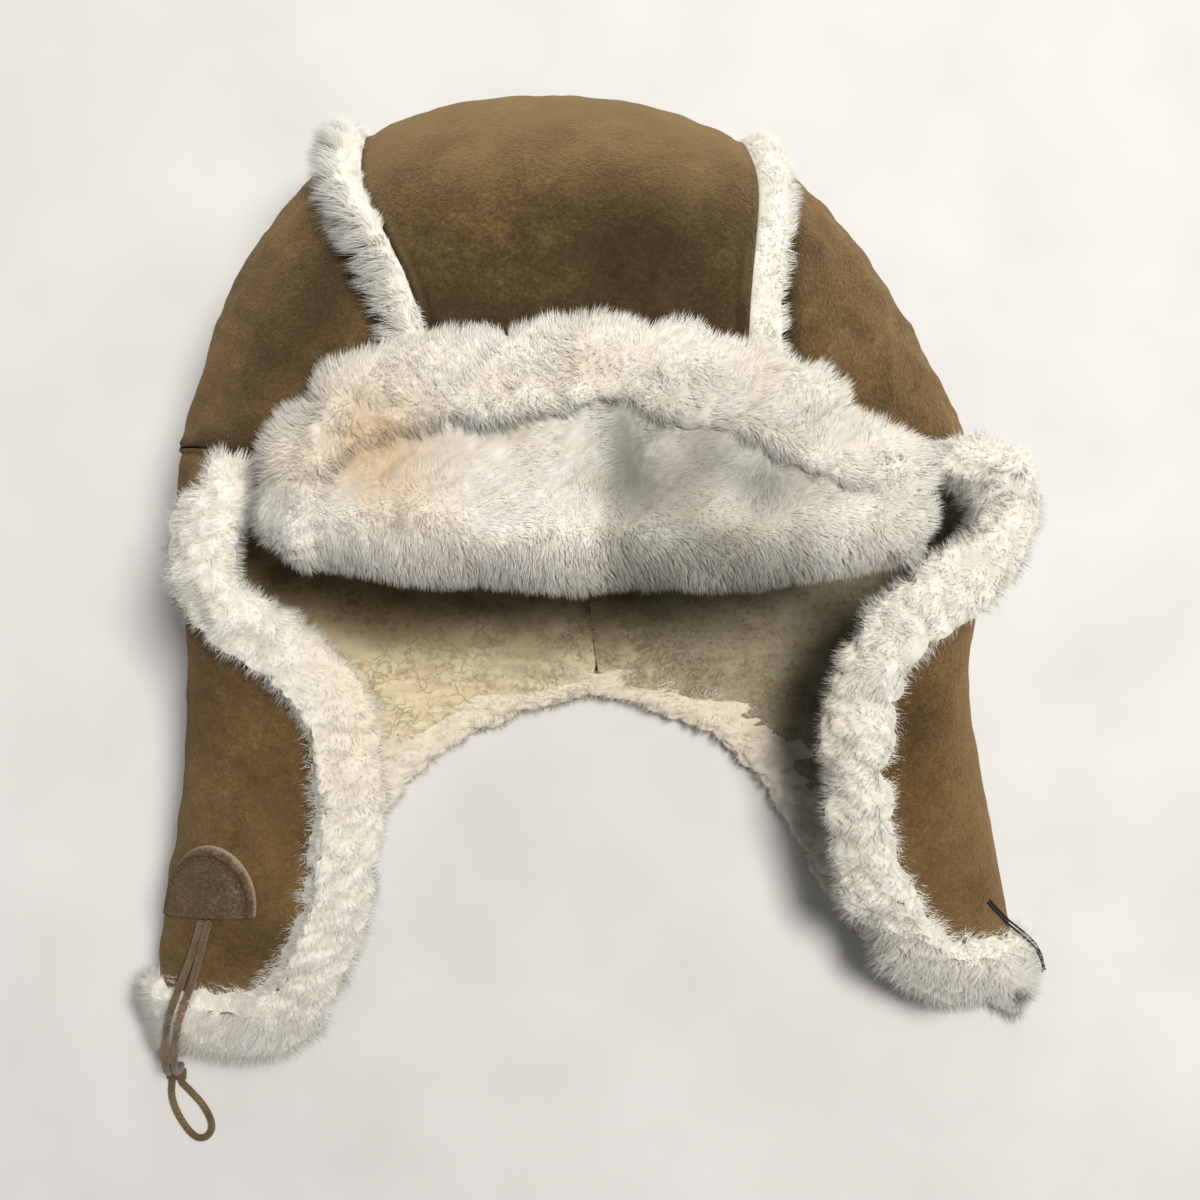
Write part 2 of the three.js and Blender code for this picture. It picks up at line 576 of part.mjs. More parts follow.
// The roll runs down the front edge, across the end and back along the rear edge to the nape
const flapRoll = (shape, side, seed) => {
  const outer = flapLayer(shape, () => 0);
  const inner = flapLayer(shape, (row, w) => leather + woolGap + woolDepth(row, w));
  const lastI = outer.length - 1;
  const lastJ = flapColumns.length - 1;
  const places = [
    ...steps(lastI - 1, 0, lastI - 1).map((i) => [i, lastJ, i, lastJ - 1]),
    [lastI, lastJ, lastI - 1, lastJ - 1],
    ...steps(lastJ - 2, lastJ - 1, 1).map((j) => [lastI, j, lastI - 1, j]),
    [lastI, 0, lastI - 1, 1],
    ...steps(lastI - 1 - hemAt, lastI - 1, hemAt).map((i) => [i, 0, i, 1]),
  ].map((place) => place.map((k) => Math.round(k)));
  const sizes = (w) => {
    const start = smooth(0, 0.04, w);
    const tip = smooth(0.36, 0.46, w);
    const rear = smooth(0.56, 0.68, w);
    return {
      width: mix(0.5, 1, start) * mix(mix(frontRoll, tipRoll, tip), rearRoll, rear),
      half: mix(0.55, 1, start) * mix(frontRollHalf, rearRollHalf, rear),
    };
  };
  return carved(borderRoll(outer, inner, places, sizes, seed, vec(0, -1, 0)), flapRoom(shape));
};

const leftFlap = flap(-1, leftRows, templeLeft);
const rightFlap = flap(1, rightRows, templeRight);
add("left_flap_panel", flapSkin(leftFlap), flapSuede);
add("right_flap_panel", flapSkin(rightFlap), flapSuede);
add("left_flap_pile", flapWool(leftFlap), liningWool);
add("right_flap_pile", flapWool(rightFlap), liningWool);
add("left_trim", flapRoll(leftFlap, -1, 1), creamWool);
add("right_trim", flapRoll(rightFlap, 1, 3), creamWool);

// Half-round patch on the left flap, flat edge toward the flap's end
const patchAt = { row: 7.66, column: 0.78 }; // middle of its flat edge
const patchGrid = (depth) => {
  const { row, column } = patchAt;
  const near = (r, w) => leftFlap.surface(r, w, 0);
  const rowLength = near(row - 0.5, column).distanceTo(near(row + 0.5, column));
  const columnLength = near(row, column - 0.05).distanceTo(near(row, column + 0.05)) / 0.1;
  return steps(4, 0, 1).map((share) => steps(10, 0, 180).map((turn) => {
    const across = (share * cos(rad(turn)) * patchWidth) / 2;
    const up = share * sin(rad(turn)) * patchHeight;
    return leftFlap.surface(row - up / rowLength, column + across / columnLength, depth);
  }));
};
add("loop_patch", solidBetween(patchGrid(-gap - patchThickness), patchGrid(-gap)), patchSuede);

// Elastic loop: from the patch over the flap's end, round on the surface and back to the patch
const loopPoints = [
  [-128.2, -159.8, 52.4], [-129.9, -164.8, 49.4], [-133, -172.7, 45.4], [-137, -182, 42.6],
  [-139.9, -189.8, 42.4], [-142.8, -197, 38.6], [-144.6, -203.4, 34.4], [-145.6, -209.6, 30.2],
  [-146.4, -214.6, 26.4], [-147.2, -217.6, 20.5], [-147.9, -218.4, 13.5], [-148.8, -218.8, 7.6],
  [-149.9, -220.4, 3.8], [-150.8, -223.4, 2.4], [-150.8, -228.4, 2.3], [-151.3, -233, 1.8],
  [-150.6, -237.5, 1.7], [-148.2, -243, 1.7], [-144.7, -248, 1.7], [-141.4, -250.1, 1.7],
  [-137.9, -249.5, 1.7], [-135.9, -246.5, 1.7], [-136.5, -242.6, 1.7], [-139.5, -237.3, 1.7],
  [-143.9, -232.6, 1.8], [-147.4, -228.4, 2.3], [-147.5, -223.4, 2.4], [-147, -220.2, 3.8],
  [-146.1, -218.8, 7.6], [-145, -218.4, 13.5], [-144.1, -217.6, 20.5], [-143.1, -214.8, 27],
  [-142, -210.4, 31.6], [-140, -203.6, 38.6], [-137.8, -196.2, 43.4], [-135.4, -188.8, 43.6],
  [-132.6, -180.7, 44.2], [-129.6, -172.5, 48], [-127, -164.8, 51.4], [-125.1, -159.6, 54],
];
const loopPath = new THREE.CatmullRomCurve3(loopPoints.map((p) => vec(...p)));
const roundShape = new THREE.Shape().absarc(0, 0, loopDiameter / 2, 0, 2 * PI);
const tube = new THREE.ExtrudeGeometry(roundShape, { steps: 58, curveSegments: 4, extrudePath: loopPath });
add("elastic_loop", closedBody(tube), elastic);

// Thread bound round both strands of the loop
const capsule = (half, radius) => {
  const outline = new THREE.Shape();
  outline.absarc(half, 0, radius, -PI / 2, PI / 2);
  outline.absarc(-half, 0, radius, PI / 2, (3 * PI) / 2);
  return outline;
};
const strandHalf = 1.65; // middle of the binding to the middle of a strand
const bore = loopDiameter / 2 + gap / 2;
const ring = capsule(strandHalf, bore + bindingWall);
ring.holes.push(capsule(strandHalf, bore));
const band = new THREE.ExtrudeGeometry(ring, { depth: bindingLength, curveSegments: 3, bevelEnabled: false });
band.translate(0, 0, -bindingLength / 2).rotateX(PI / 2).translate(-149.15, -225.9, bore + bindingWall);
add("loop_binding", closedBody(band), elastic);

export default group;
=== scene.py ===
"""A sheepskin flying helmet lying on its back: suede crown and ear flaps, wool in the crown's seams,
a wool-faced visor turned up over the forehead, and thick rolls of wool round the flaps' edges."""

import bpy
import numpy as np
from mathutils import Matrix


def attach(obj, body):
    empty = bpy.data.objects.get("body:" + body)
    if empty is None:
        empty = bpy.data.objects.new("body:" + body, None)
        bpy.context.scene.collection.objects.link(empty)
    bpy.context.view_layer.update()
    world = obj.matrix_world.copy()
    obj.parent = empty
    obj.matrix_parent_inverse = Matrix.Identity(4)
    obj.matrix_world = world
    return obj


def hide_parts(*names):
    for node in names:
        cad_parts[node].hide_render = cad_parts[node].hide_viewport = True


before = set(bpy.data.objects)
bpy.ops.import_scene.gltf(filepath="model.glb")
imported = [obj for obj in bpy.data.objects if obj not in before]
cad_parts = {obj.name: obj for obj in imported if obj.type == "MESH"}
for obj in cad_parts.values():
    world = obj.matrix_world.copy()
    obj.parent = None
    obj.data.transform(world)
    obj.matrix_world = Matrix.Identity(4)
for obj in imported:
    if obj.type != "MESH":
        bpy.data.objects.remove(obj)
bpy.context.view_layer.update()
MM = 0.001

# Camera: it looks straight down on the helmet from about an arm's length, as the photograph does.
# Its centre is a little to the right of the crown's middle and below the forehead.
camera_at = (8, -50, 614)  # mm
picture_size = 1200  # pixels
focal_length = 1648  # pixels
camera_data = bpy.data.cameras.new("camera")
camera_data.sensor_width = 36
camera_data.lens = camera_data.sensor_width * focal_length / picture_size
camera = bpy.data.objects.new("camera", camera_data)
camera.location = np.array(camera_at) * MM
bpy.context.scene.collection.objects.link(camera)
bpy.context.scene.camera = camera


# Elastic loop: a cord of rubber braided over with tan thread, doubled and bound with thread. It
# leaves the patch on the left flap, hangs over the flap's end, turns on the floor and goes back.
loop_points = [
    (-128.2, -159.8, 52.4), (-129.9, -164.8, 49.4), (-133, -172.7, 45.4), (-137, -182, 42.6),
    (-139.9, -189.8, 42.4), (-142.8, -197, 38.6), (-144.6, -203.4, 34.4), (-145.6, -209.6, 31.6),
    (-146.4, -215.6, 28.2), (-147.2, -219.6, 22), (-147.9, -221, 14.6), (-148.8, -221.6, 8.2),
    (-149.9, -222.2, 4.2), (-150.8, -223.8, 2.5), (-150.8, -228.4, 2.3), (-151.1, -233, 1.8),
    (-150.2, -237.5, 1.7), (-147.8, -242.6, 1.7), (-144.4, -247.4, 1.7), (-141.3, -249.7, 1.7),
    (-138.2, -249.3, 1.7), (-136.3, -246.6, 1.7), (-136.8, -242.6, 1.7), (-139.7, -237.4, 1.7),
    (-143.9, -232.6, 1.8), (-147.4, -228.4, 2.3), (-147.5, -223.8, 2.5), (-147, -222.2, 4.2),
    (-146.1, -221.6, 8.2), (-145, -221, 14.6), (-144.1, -219.6, 22), (-143.1, -215.8, 28.8),
    (-142, -210.4, 33), (-140, -203.6, 39), (-137.8, -196.2, 43.4), (-135.4, -188.8, 43.6),
    (-132.6, -180.7, 44.2), (-129.6, -172.5, 48), (-127, -164.8, 51.4), (-125.1, -159.6, 54),
]
loop_diameter = 2.6
loop_rings = 520
cord_sides = 12
braid_pitch = 1.9  # mm along the cord between two threads of the braid
braid_threads = 3
braid_relief = 0.05  # share of the radius
binding_middle = np.array((-149.15, -225.9, 2.3))
binding_length = 4
binding_thread = 0.8  # diameter
binding_turns = 5
binding_rings = 150
binding_sides = 8
strand_half = 1.65  # middle of the binding to the middle of a strand


def along_table(rows, at):
    """Catmull-Rom curve through the rows of a table: every column is interpolated alike, and the
    whole part of `at` is the row's number."""
    rows = np.asarray(rows, float)
    at = np.asarray(at, float)
    i = np.clip(np.floor(at).astype(int), 0, len(rows) - 2)
    w = (at - i)[..., None]
    a, b, c, d = (rows[np.clip(i + k, 0, len(rows) - 1)] for k in (-1, 0, 1, 2))
    start, end = (c - a) / 2, (d - b) / 2
    return b + w * (start + w * ((3 * (c - b) - 2 * start - end) + w * (2 * (b - c) + start + end)))


def unit(vectors):
    """Each vector divided by its length."""
    return vectors / (np.linalg.norm(vectors, axis=-1, keepdims=True) + 1e-12)


def evenly(path, count):
    """The path again as `count` points that are the same distance apart along it."""
    lengths = np.linalg.norm(np.diff(path, axis=0), axis=1)
    travelled = np.concatenate([[0], np.cumsum(lengths)])
    wanted = np.linspace(0, travelled[-1], count)
    return np.stack([np.interp(wanted, travelled, path[:, k]) for k in range(3)], 1)


def sweep(path, radius, sides, reference):
    """Rings round a path: a point is the path plus the radius times the cosine and sine of an
    angle along two directions square to the path. The radius may be an array, ring by side."""
    forward = unit(np.gradient(path, axis=0))
    across = unit(np.cross(forward, reference))
    up = np.cross(across, forward)
    turn = np.arange(sides) * 2 * np.pi / sides
    circle = (np.cos(turn)[None, :, None] * across[:, None]
              + np.sin(turn)[None, :, None] * up[:, None])
    return path[:, None] + np.broadcast_to(radius, (len(path), sides))[..., None] * circle


def facing_out(points, triangles):
    """The triangles, turned round if the volume they enclose comes out negative."""
    a, b, c = (points[triangles[:, k]] for k in range(3))
    middle = points.mean(0)
    volume = np.einsum("ij,ij->i", a - middle, np.cross(b - middle, c - middle)).sum()
    return triangles if volume > 0 else triangles[:, ::-1]


def ring_solid(rings):
    """Points and triangles of a closed tube: neighbouring rings are joined, and each end is closed
    by a fan about its middle."""
    count, sides = rings.shape[:2]
    points = np.concatenate([rings.reshape(-1, 3), rings[[0, -1]].mean(1)])
    i, j = np.meshgrid(np.arange(count - 1), np.arange(sides), indexing="ij")
    a, b = i * sides + j, i * sides + (j + 1) % sides
    c, d = b + sides, a + sides
    side = np.arange(sides)
    last = (count - 1) * sides
    first_middle, last_middle = count * sides, count * sides + 1
    triangles = np.concatenate([
        np.stack([a, d, c], -1).reshape(-1, 3),
        np.stack([a, c, b], -1).reshape(-1, 3),
        np.stack([side, (side + 1) % sides, np.full(sides, first_middle)], -1),
        np.stack([last + (side + 1) % sides, last + side, np.full(sides, last_middle)], -1),
    ])
    return points, facing_out(points, triangles)


def joined(*parts):
    """Several meshes as one: their points in a row, with each one's triangles counted on."""
    starts = np.cumsum([0] + [len(points) for points, _ in parts[:-1]])
    return (np.concatenate([points for points, _ in parts]),
            np.concatenate([triangles + start for (_, triangles), start in zip(parts, starts)]))


def piece(name, points, triangles, material, replaced, slot, **attributes):
    """A mesh object from points in millimetres, with one number for each point in each attribute.
    It rides on the helmet and stands for the CAD solids named in `replaced`."""
    mesh = bpy.data.meshes.new(name)
    mesh.from_pydata(points * MM, [], triangles)
    for label, values in attributes.items():
        layer = mesh.attributes.new(label, "FLOAT", "POINT")
        layer.data.foreach_set("value", np.asarray(values, np.float32).ravel())
    mesh.shade_smooth()
    mesh.materials.append(material)
    item = bpy.data.objects.new(name, mesh)
    bpy.context.scene.collection.objects.link(item)
    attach(item, "root")
    if replaced:
        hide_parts(*replaced)
    return item


def operator(operation, swapped=False):
    """A method of Value that adds one Math node, with the two sides swapped where asked."""
    def method(self, other):
        a, b = (other, self) if swapped else (self, other)
        return self.paint.node("Math", {"operation": operation}, {0: a, 1: b})
    return method


class Value:
    """A socket with the operators of arithmetic: an expression adds its Math nodes."""

    def __init__(self, paint, socket):
        self.paint = paint
        self.socket = socket

    __add__ = operator("ADD")
    __sub__ = operator("SUBTRACT")
    __rsub__ = operator("SUBTRACT", True)
    __mul__ = operator("MULTIPLY")
    __rmul__ = operator("MULTIPLY", True)
    __pow__ = operator("POWER")


class Paint:
    """A material being made. node() adds any node, from its type, settings and sockets."""

    def __init__(self, name):
        self.material = bpy.data.materials.new(name)
        self.material.use_nodes = True
        self.tree = self.material.node_tree
        self.tree.nodes.clear()

    def node(self, kind, settings=None, sockets=None, out=0):
        made = self.tree.nodes.new("ShaderNode" + kind)
        for key, value in (settings or {}).items():
            if key == "stops":
                ramp = made.color_ramp.elements
                for place, colour in value[len(ramp):]:
                    ramp.new(place)
                for element, (place, colour) in zip(ramp, value):
                    element.position = place
                    element.color = colour
            else:
                setattr(made, key, value)
        for key, value in (sockets or {}).items():
            if isinstance(value, Value):
                self.tree.links.new(value.socket, made.inputs[key])
            else:
                made.inputs[key].default_value = value
        return Value(self, made.outputs[out]) if made.outputs else None

    def place(self):
        """Object coordinates in millimetres."""
        metres = self.node("TexCoord", out="Object")
        return self.node("VectorMath", {"operation": "SCALE"}, {0: metres, "Scale": 1 / MM})

    def noise(self, size, detail=2, roughness=0.5, at=None, low=0.3, high=0.7):
        """Noise whose lumps are about `size` millimetres, stretched to run from 0 to 1."""
        sockets = {"Vector": at or self.place(), "Scale": 1 / size, "Detail": detail,
                   "Roughness": roughness}
        return self.node("MapRange", {}, {0: self.node("TexNoise", {}, sockets), 1: low, 2: high})

    def warped(self, size, amount):
        """The place in millimetres, pushed by the amount times a noise of three numbers."""
        sockets = {"Vector": self.place(), "Scale": 1 / size, "Detail": 2.0}
        push = self.node("TexNoise", {}, sockets, "Color")
        return self.node("VectorMath", {"operation": "MULTIPLY_ADD"}, {0: push, 1: amount, 2: self.place()})

    def attribute(self, name):
        return self.node("Attribute", {"attribute_name": name}, {}, "Fac")

    def blend(self, factor, a, b):
        return self.node("Mix", {"data_type": "RGBA"}, {0: factor, 6: a, 7: b}, 2)

    def finish(self, colour, roughness, height=None, depth=1.0, sheen=0.0, tint=(1, 1, 1, 1)):
        """Closes the material. Height is in millimetres times `depth`."""
        sockets = {"Base Color": colour, "Roughness": roughness, "Sheen Weight": sheen,
                   "Sheen Tint": tint, "Sheen Roughness": 0.5, "Specular IOR Level": 0.25}
        if height is not None:
            bump = {"Height": height, "Distance": depth * MM, "Strength": 1.0}
            sockets["Normal"] = self.node("Bump", {}, bump)
        self.node("OutputMaterial", {}, {0: self.node("BsdfPrincipled", {}, sockets)})
        return self.material


def cord_paint():
    """Tan thread: each strand is a little lighter or darker, and the thread is darker in between the
    strands.
    """
    paint = Paint("braided_thread")
    worn = paint.noise(9, 3)
    fleck = paint.noise(0.6, 2)
    colour = paint.blend(worn, (0.14, 0.086, 0.036, 1), (0.31, 0.20, 0.095, 1))
    colour = paint.blend(0.5 * (1 - fleck), colour, (0.06, 0.035, 0.015, 1))
    colour = paint.blend(0.65 * (1 - paint.attribute("relief")), colour, (0.05, 0.03, 0.013, 1))
    return paint.finish(colour, 0.75, fleck, 0.15, 0.25)


elastic = cord_paint()
loop_line = evenly(along_table(loop_points, np.linspace(0, len(loop_points) - 1, 1200)), loop_rings)
loop_length = np.linalg.norm(np.diff(loop_line, axis=0), axis=1).sum()
travelled = np.linspace(0, loop_length, loop_rings)[:, None] / braid_pitch * 2 * np.pi
round_cord = np.arange(cord_sides)[None] * 2 * np.pi / cord_sides * braid_threads
relief = np.maximum(np.sin(travelled + round_cord), np.sin(travelled - round_cord)) * 0.5 + 0.5
loop_radius = loop_diameter / 2 * (1 - braid_relief * (1 - relief))
loop_solid = ring_solid(sweep(loop_line, loop_radius, cord_sides, (0.7, 0, 0.7)))
loop = piece("elastic_cord", *loop_solid, elastic, ["elastic_loop"], "elastic",
             relief=np.concatenate([relief.ravel(), [0.5, 0.5]]))

binding_w = np.linspace(0, 1, binding_rings)
binding_turn = 2 * np.pi * binding_turns * binding_w
binding_line = binding_middle + np.stack([
    (strand_half + loop_diameter / 2 + binding_thread / 2) * np.cos(binding_turn),
    (binding_w - 0.5) * (binding_length - binding_thread),
    (loop_diameter / 2 + binding_thread / 2) * np.sin(binding_turn),
], 1)
binding_solid = ring_solid(sweep(binding_line, binding_thread / 2, binding_sides, (0, 1, 0)))
binding = piece("cord_binding", *binding_solid, elastic, ["loop_binding"], "elastic",
                relief=np.full(binding_rings * binding_sides + 2, 0.4))


# Floor and light: a pale plain floor, a ceiling light to the right beyond the crown's top, and a
# weak broad one farther off, so that the shade falls under the visor and left of the right flap.
floor_paint = Paint("floor")
floor_colour = floor_paint.blend(floor_paint.noise(60, 2), (0.66, 0.64, 0.61, 1), (0.72, 0.70, 0.67, 1))
floor_mesh = bpy.data.meshes.new("floor")
floor_corners = [(-3, -3, 0), (3, -3, 0), (3, 3, 0), (-3, 3, 0)]
floor_mesh.from_pydata(floor_corners, [], [(0, 1, 2, 3)])
floor_mesh.materials.append(floor_paint.finish(floor_colour, 0.85))
floor = bpy.data.objects.new("floor", floor_mesh)
bpy.context.scene.collection.objects.link(floor)


def softbox(name, at, towards, size, power):
    """A square area light that faces a point."""
    data = bpy.data.lights.new(name, "AREA")
    data.shape = "SQUARE"
    data.size = size
    data.energy = power
    data.color = (1.0, 0.99, 0.97)
    lamp = bpy.data.objects.new(name, data)
    lamp.location = at
    aim = np.array(towards) - np.array(at)
    tilt, heading = np.arctan2(np.hypot(aim[0], aim[1]), -aim[2]), np.arctan2(-aim[0], aim[1])
    lamp.rotation_euler = (tilt, 0, heading)
    bpy.context.scene.collection.objects.link(lamp)


softbox("ceiling_light", (0.38, 0.20, 1.58), (0, -0.05, 0.05), 0.38, 28)
softbox("window_light", (0.1, 1.5, 0.75), (0, 0, 0.08), 0.9, 9)
world = bpy.data.worlds.new("world")
world.use_nodes = True
sky = world.node_tree.nodes["Background"].inputs
sky["Color"].default_value = (0.92, 0.95, 1.0, 1)
sky["Strength"].default_value = 0.16
bpy.context.scene.world = world
bpy.context.scene.view_settings.view_transform = "Standard"


# Crown: three panels of tan suede, two millimetres thick, sewn edge to edge with a strip of wool
# in each seam. Their edges are turned in and sewn down, which leaves a dark line beside the wool.
crown_half_width = 131
crown_depth = 114
crown_middle = 64
crown_front_rise = 54
crown_bulge = 45
crown_back_drop = 78
crown_lean = 10
crown_power = 2.15
crown_taper = (0.095, 0.165)
forehead_drop = 25
nape_drop = 20
seam_rim_top = {-1: (48, 72), 1: (63, 76)}
floor_press = 4
leather = 2
gap = 0.4
strip_width = 12
crown_dents = [
    # across, degrees above the back, reach across, reach up, depth as a share of the bulge
    (-0.57, 50, 0.12, 24, 0.17),
    (0.1, 62, 0.28, 13, 0.11),
    (-0.8, 38, 0.12, 20, 0.06),
    (0.72, 55, 0.12, 16, 0.05),
]
seam_groove = 3.4  # mm from a panel's edge to the line of its stitches


def mix(a, b, w):
    """a where w is 0 and b where w is 1."""
    return a + (b - a) * w


def smooth(low, high, x):
    """0 below low and 1 above high, with an S-shaped rise between."""
    w = np.clip((x - low) / (high - low), 0, 1)
    return w * w * (3 - 2 * w)


def raised(x, power):
    """A power of the size of x, with x's sign."""
    return np.sign(x) * np.abs(x) ** power


def bell(x, reach):
    """A bell curve: 1 at 0, and e to the minus square of x over the reach elsewhere."""
    return np.exp(-((x / reach) ** 2))


def spot(at, x, y, wide, tall):
    """A soft round patch in plan: a bell curve of the distance from its middle."""
    return np.exp(-(((at[..., 0] - x) / wide) ** 2) - ((at[..., 1] - y) / tall) ** 2)


def ripples(points, size, seed, waves=20):
    """A sum of plane waves about `size` long that run in random directions, mostly -1 to 1."""
    random = np.random.default_rng(seed)
    direction = unit(random.normal(size=(waves, 3)))
    direction *= 2 * np.pi / size * random.uniform(0.7, 1.3, (waves, 1))
    waved = np.sin(points @ direction.T + random.uniform(0, 2 * np.pi, waves)).sum(-1)
    return waved * np.sqrt(2 / waves) / 1.5


def rim_at(across, height):
    """The rim drops with the fourth power of the slope at the front and its square at the back."""
    steep = np.abs(height) / (np.hypot(across, height) + 1e-9)
    return np.where(height > 0, -forehead_drop * steep**4, -nape_drop * steep**2)


def crown_point(across, toward_top, height, depth):
    """A point of the crown from its shares across, toward the top and of the height left: each
    share times its half size, tapered to the top, pressed flat below and hollowed by the dents."""
    swell = crown_bulge * smooth(0, 0.75, toward_top)
    rise = np.where(height > 0, crown_front_rise + swell, crown_back_drop) - depth
    up = np.where(height > 0, 1, -1) * np.degrees(np.arctan2(np.abs(height), toward_top + 1e-9))
    place = np.stack(np.broadcast_arrays(across, up), -1)
    hollow = sum(deep * crown_bulge * spot(place, middle, level, reach, tall)
                 for middle, level, reach, tall, deep in crown_dents)
    hollow = hollow * np.where(np.asarray(depth) > leather, 1.15, 1)
    taper = mix(*crown_taper, (across + 1) / 2) * (1 - (1 - toward_top) ** 2.5)
    x = (crown_half_width - depth) * across * (1 - taper) - crown_lean * toward_top**2
    y = mix(rim_at(across, height), crown_depth - depth - 0.5 * hollow, toward_top)
    low = crown_middle + height * rise - depth
    rounded = np.clip(low + floor_press, 0, None) ** 2 / (4 * floor_press)
    pressed = np.where(low < -floor_press, 0, np.where(low > floor_press, low, rounded))
    return np.stack([x, y, pressed + depth - hollow * np.clip(height, 0, None)], -1)


def crown_at(across, elevation, depth):
    """The crown by degrees of elevation: 90 is the forehead's rim, 0 the top, -90 the back's rim."""
    across, elevation, depth = np.broadcast_arrays(across, elevation, depth)
    share = np.clip(1 - np.abs(across) ** crown_power, 0, None) ** (1 / crown_power)
    turn = np.radians(elevation)
    toward_top = share * np.clip(np.cos(turn), 0, None) ** (2 / crown_power)
    return crown_point(across, toward_top, share * raised(np.sin(turn), 2 / crown_power), depth)


def seam_at(side, elevation):
    """How far across a crown seam lies: nearer the middle at the rim than at the top."""
    return side * mix(*seam_rim_top[side], smooth(80, 35, np.abs(elevation))) / crown_half_width


def grid_normals(grid, closed=False):
    """Unit vectors square to a grid of points, by the cross product of its two slopes."""
    down = np.gradient(grid, axis=0)
    if closed:
        across = (np.roll(grid, -1, 1) - np.roll(grid, 1, 1)) / 2
    else:
        across = np.gradient(grid, axis=1)
    return unit(np.cross(down, across))


def shell_solid(outer, inner):
    """Points and triangles of a closed wall between two grids of the same size. Points that
    coincide are merged, and triangles that lose their area that way are left out."""
    rows, columns = outer.shape[:2]
    grid = np.arange(rows * columns).reshape(rows, columns)
    below = grid + rows * columns
    border = np.concatenate([grid[0, :-1], grid[:-1, -1], grid[-1, :0:-1], grid[:0:-1, 0]])
    following = np.roll(border, -1)
    quads = np.concatenate([
        np.stack([grid[:-1, :-1], grid[1:, :-1], grid[1:, 1:], grid[:-1, 1:]], -1).reshape(-1, 4),
        np.stack([below[:-1, :-1], below[:-1, 1:], below[1:, 1:], below[1:, :-1]], -1).reshape(-1, 4),
        np.stack([border, following, following + rows * columns, border + rows * columns], -1),
    ])
    points = np.concatenate([outer.reshape(-1, 3), inner.reshape(-1, 3)])
    _, kept, place = np.unique(np.round(points, 3), axis=0, return_index=True, return_inverse=True)
    triangles = place.ravel()[np.concatenate([quads[:, :3], quads[:, [0, 2, 3]]])]
    whole = ((triangles[:, 0] != triangles[:, 1]) & (triangles[:, 1] != triangles[:, 2])
             & (triangles[:, 2] != triangles[:, 0]))
    return points[kept], facing_out(points[kept], triangles[whole]), kept


def on_both(values, kept):
    """A grid's values, held between 0 and 1, at the points that a wall's two faces have kept."""
    return np.clip(np.tile(values.ravel(), 2)[kept], 0, 1)


def suede_paint(name, dark, middle, light, crease_size=7.0):
    """Suede: a nap brushed lighter and darker in patches, rubbed edges, fine grain, soft creases, dark seam
    lines, and painted shade and painted highlight where a panel asks for them.
    """
    paint = Paint(name)
    warped = paint.warped(22, (14, 14, 14))
    brushed = paint.noise(26, 4, 0.6, warped, 0.32, 0.68)
    smudge = paint.noise(7.5, 3, 0.6, warped, 0.3, 0.7)
    nap = paint.noise(1.8, 4, 0.75, None, 0.25, 0.75)
    grain = paint.noise(1.1, 3, 0.75, None, 0.38, 0.62)
    crease = paint.node("TexNoise", {"noise_type": "RIDGED_MULTIFRACTAL"},
                        {"Vector": warped, "Scale": 1 / crease_size, "Detail": 3.0, "Roughness": 0.5})
    crease = paint.node("MapRange", {}, {0: crease, 1: 0.9, 2: 1.6})
    tone = 0.5 * brushed + 0.28 * smudge + 0.46 * nap - 0.12
    colour = paint.node("ValToRGB", {"stops": [(0.18, dark), (0.5, middle), (0.85, light)]}, {0: tone})
    colour = paint.blend(0.55 * (1 - grain), colour, dark)
    colour = paint.blend(0.3 * grain * nap, colour, light)
    colour = paint.blend(0.25 * crease * brushed, colour, light)
    darker = tuple(0.4 * v for v in dark[:3]) + (1,)
    # Darker along the seam lines and with painted shade where a panel is given it; paler at rubbed edges
    # and with a painted highlight where a panel is given one
    colour = paint.blend(0.85 * paint.attribute("seam"), colour, darker)
    colour = paint.blend(0.8 * paint.attribute("worn"), colour, light)
    height = 0.6 * grain + 0.5 * nap + 0.3 * smudge - 0.5 * crease
    return paint.finish(colour, 0.93, height, 0.42, 0.32, (0.95, 0.64, 0.32, 1))


crown_suede = suede_paint("crown_suede", (0.037, 0.022, 0.006, 1), (0.083, 0.05, 0.016, 1),
                          (0.18, 0.118, 0.043, 1))
side_suede = suede_paint("side_suede", (0.05, 0.029, 0.009, 1), (0.108, 0.064, 0.021, 1),
                         (0.21, 0.133, 0.05, 1))
turned_edge = 0.55  # mm that a turned-in edge swells
stitches_sunk = 0.75  # mm that the line of stitches is drawn down
lying_below = 0.6  # mm over the floor, below which a wall lies flat


def suede(name, surface, rows, columns, material, replaced, slot, edge, *, seed, groove=None,
          creases=0.35, fade_and_light=None, dirt_and_shade=None):
    """A suede wall: the surface at no depth and at the leather's. Its edge swells where it is
    turned in, the line of stitches beside it is drawn down, and shallow ripples run over it."""
    row, column = np.meshgrid(rows, columns, indexing="ij")
    flat = surface(row, column, 0 * row)
    inner = surface(row, column, 0 * row + leather)
    away = edge(row, column)
    swell = turned_edge * bell(away - 0.9, 1.1) - stitches_sunk * bell(away - seam_groove, 0.9)
    if groove:
        swell = swell + groove(row, column)
    creased = ripples(flat, 17, seed) + 0.5 * ripples(flat, 8, seed + 1)
    swell = swell + creases * creased * smooth(0, 8, away)
    swell = np.where(flat[..., 2] < lying_below, 0, swell)
    points, triangles, kept = shell_solid(flat - unit(inner - flat) * swell[..., None], inner)
    seam = bell(away - seam_groove, 0.8) + bell(away, 1.1)
    worn = 0.6 * bell(away - 1.6, 0.8) * smooth(-0.2, 0.8, ripples(flat, 30, seed + 2))
    # Rubbed places and painted highlight make the suede paler; dirt and painted shade make it darker
    if fade_and_light:
        worn = worn + fade_and_light(flat)
    if dirt_and_shade:
        seam = seam + dirt_and_shade(flat)
    return piece(name, points, triangles, material, replaced, slot, seam=on_both(seam, kept),
                 worn=on_both(worn, kept))


strip_half = strip_width / 2 / crown_half_width


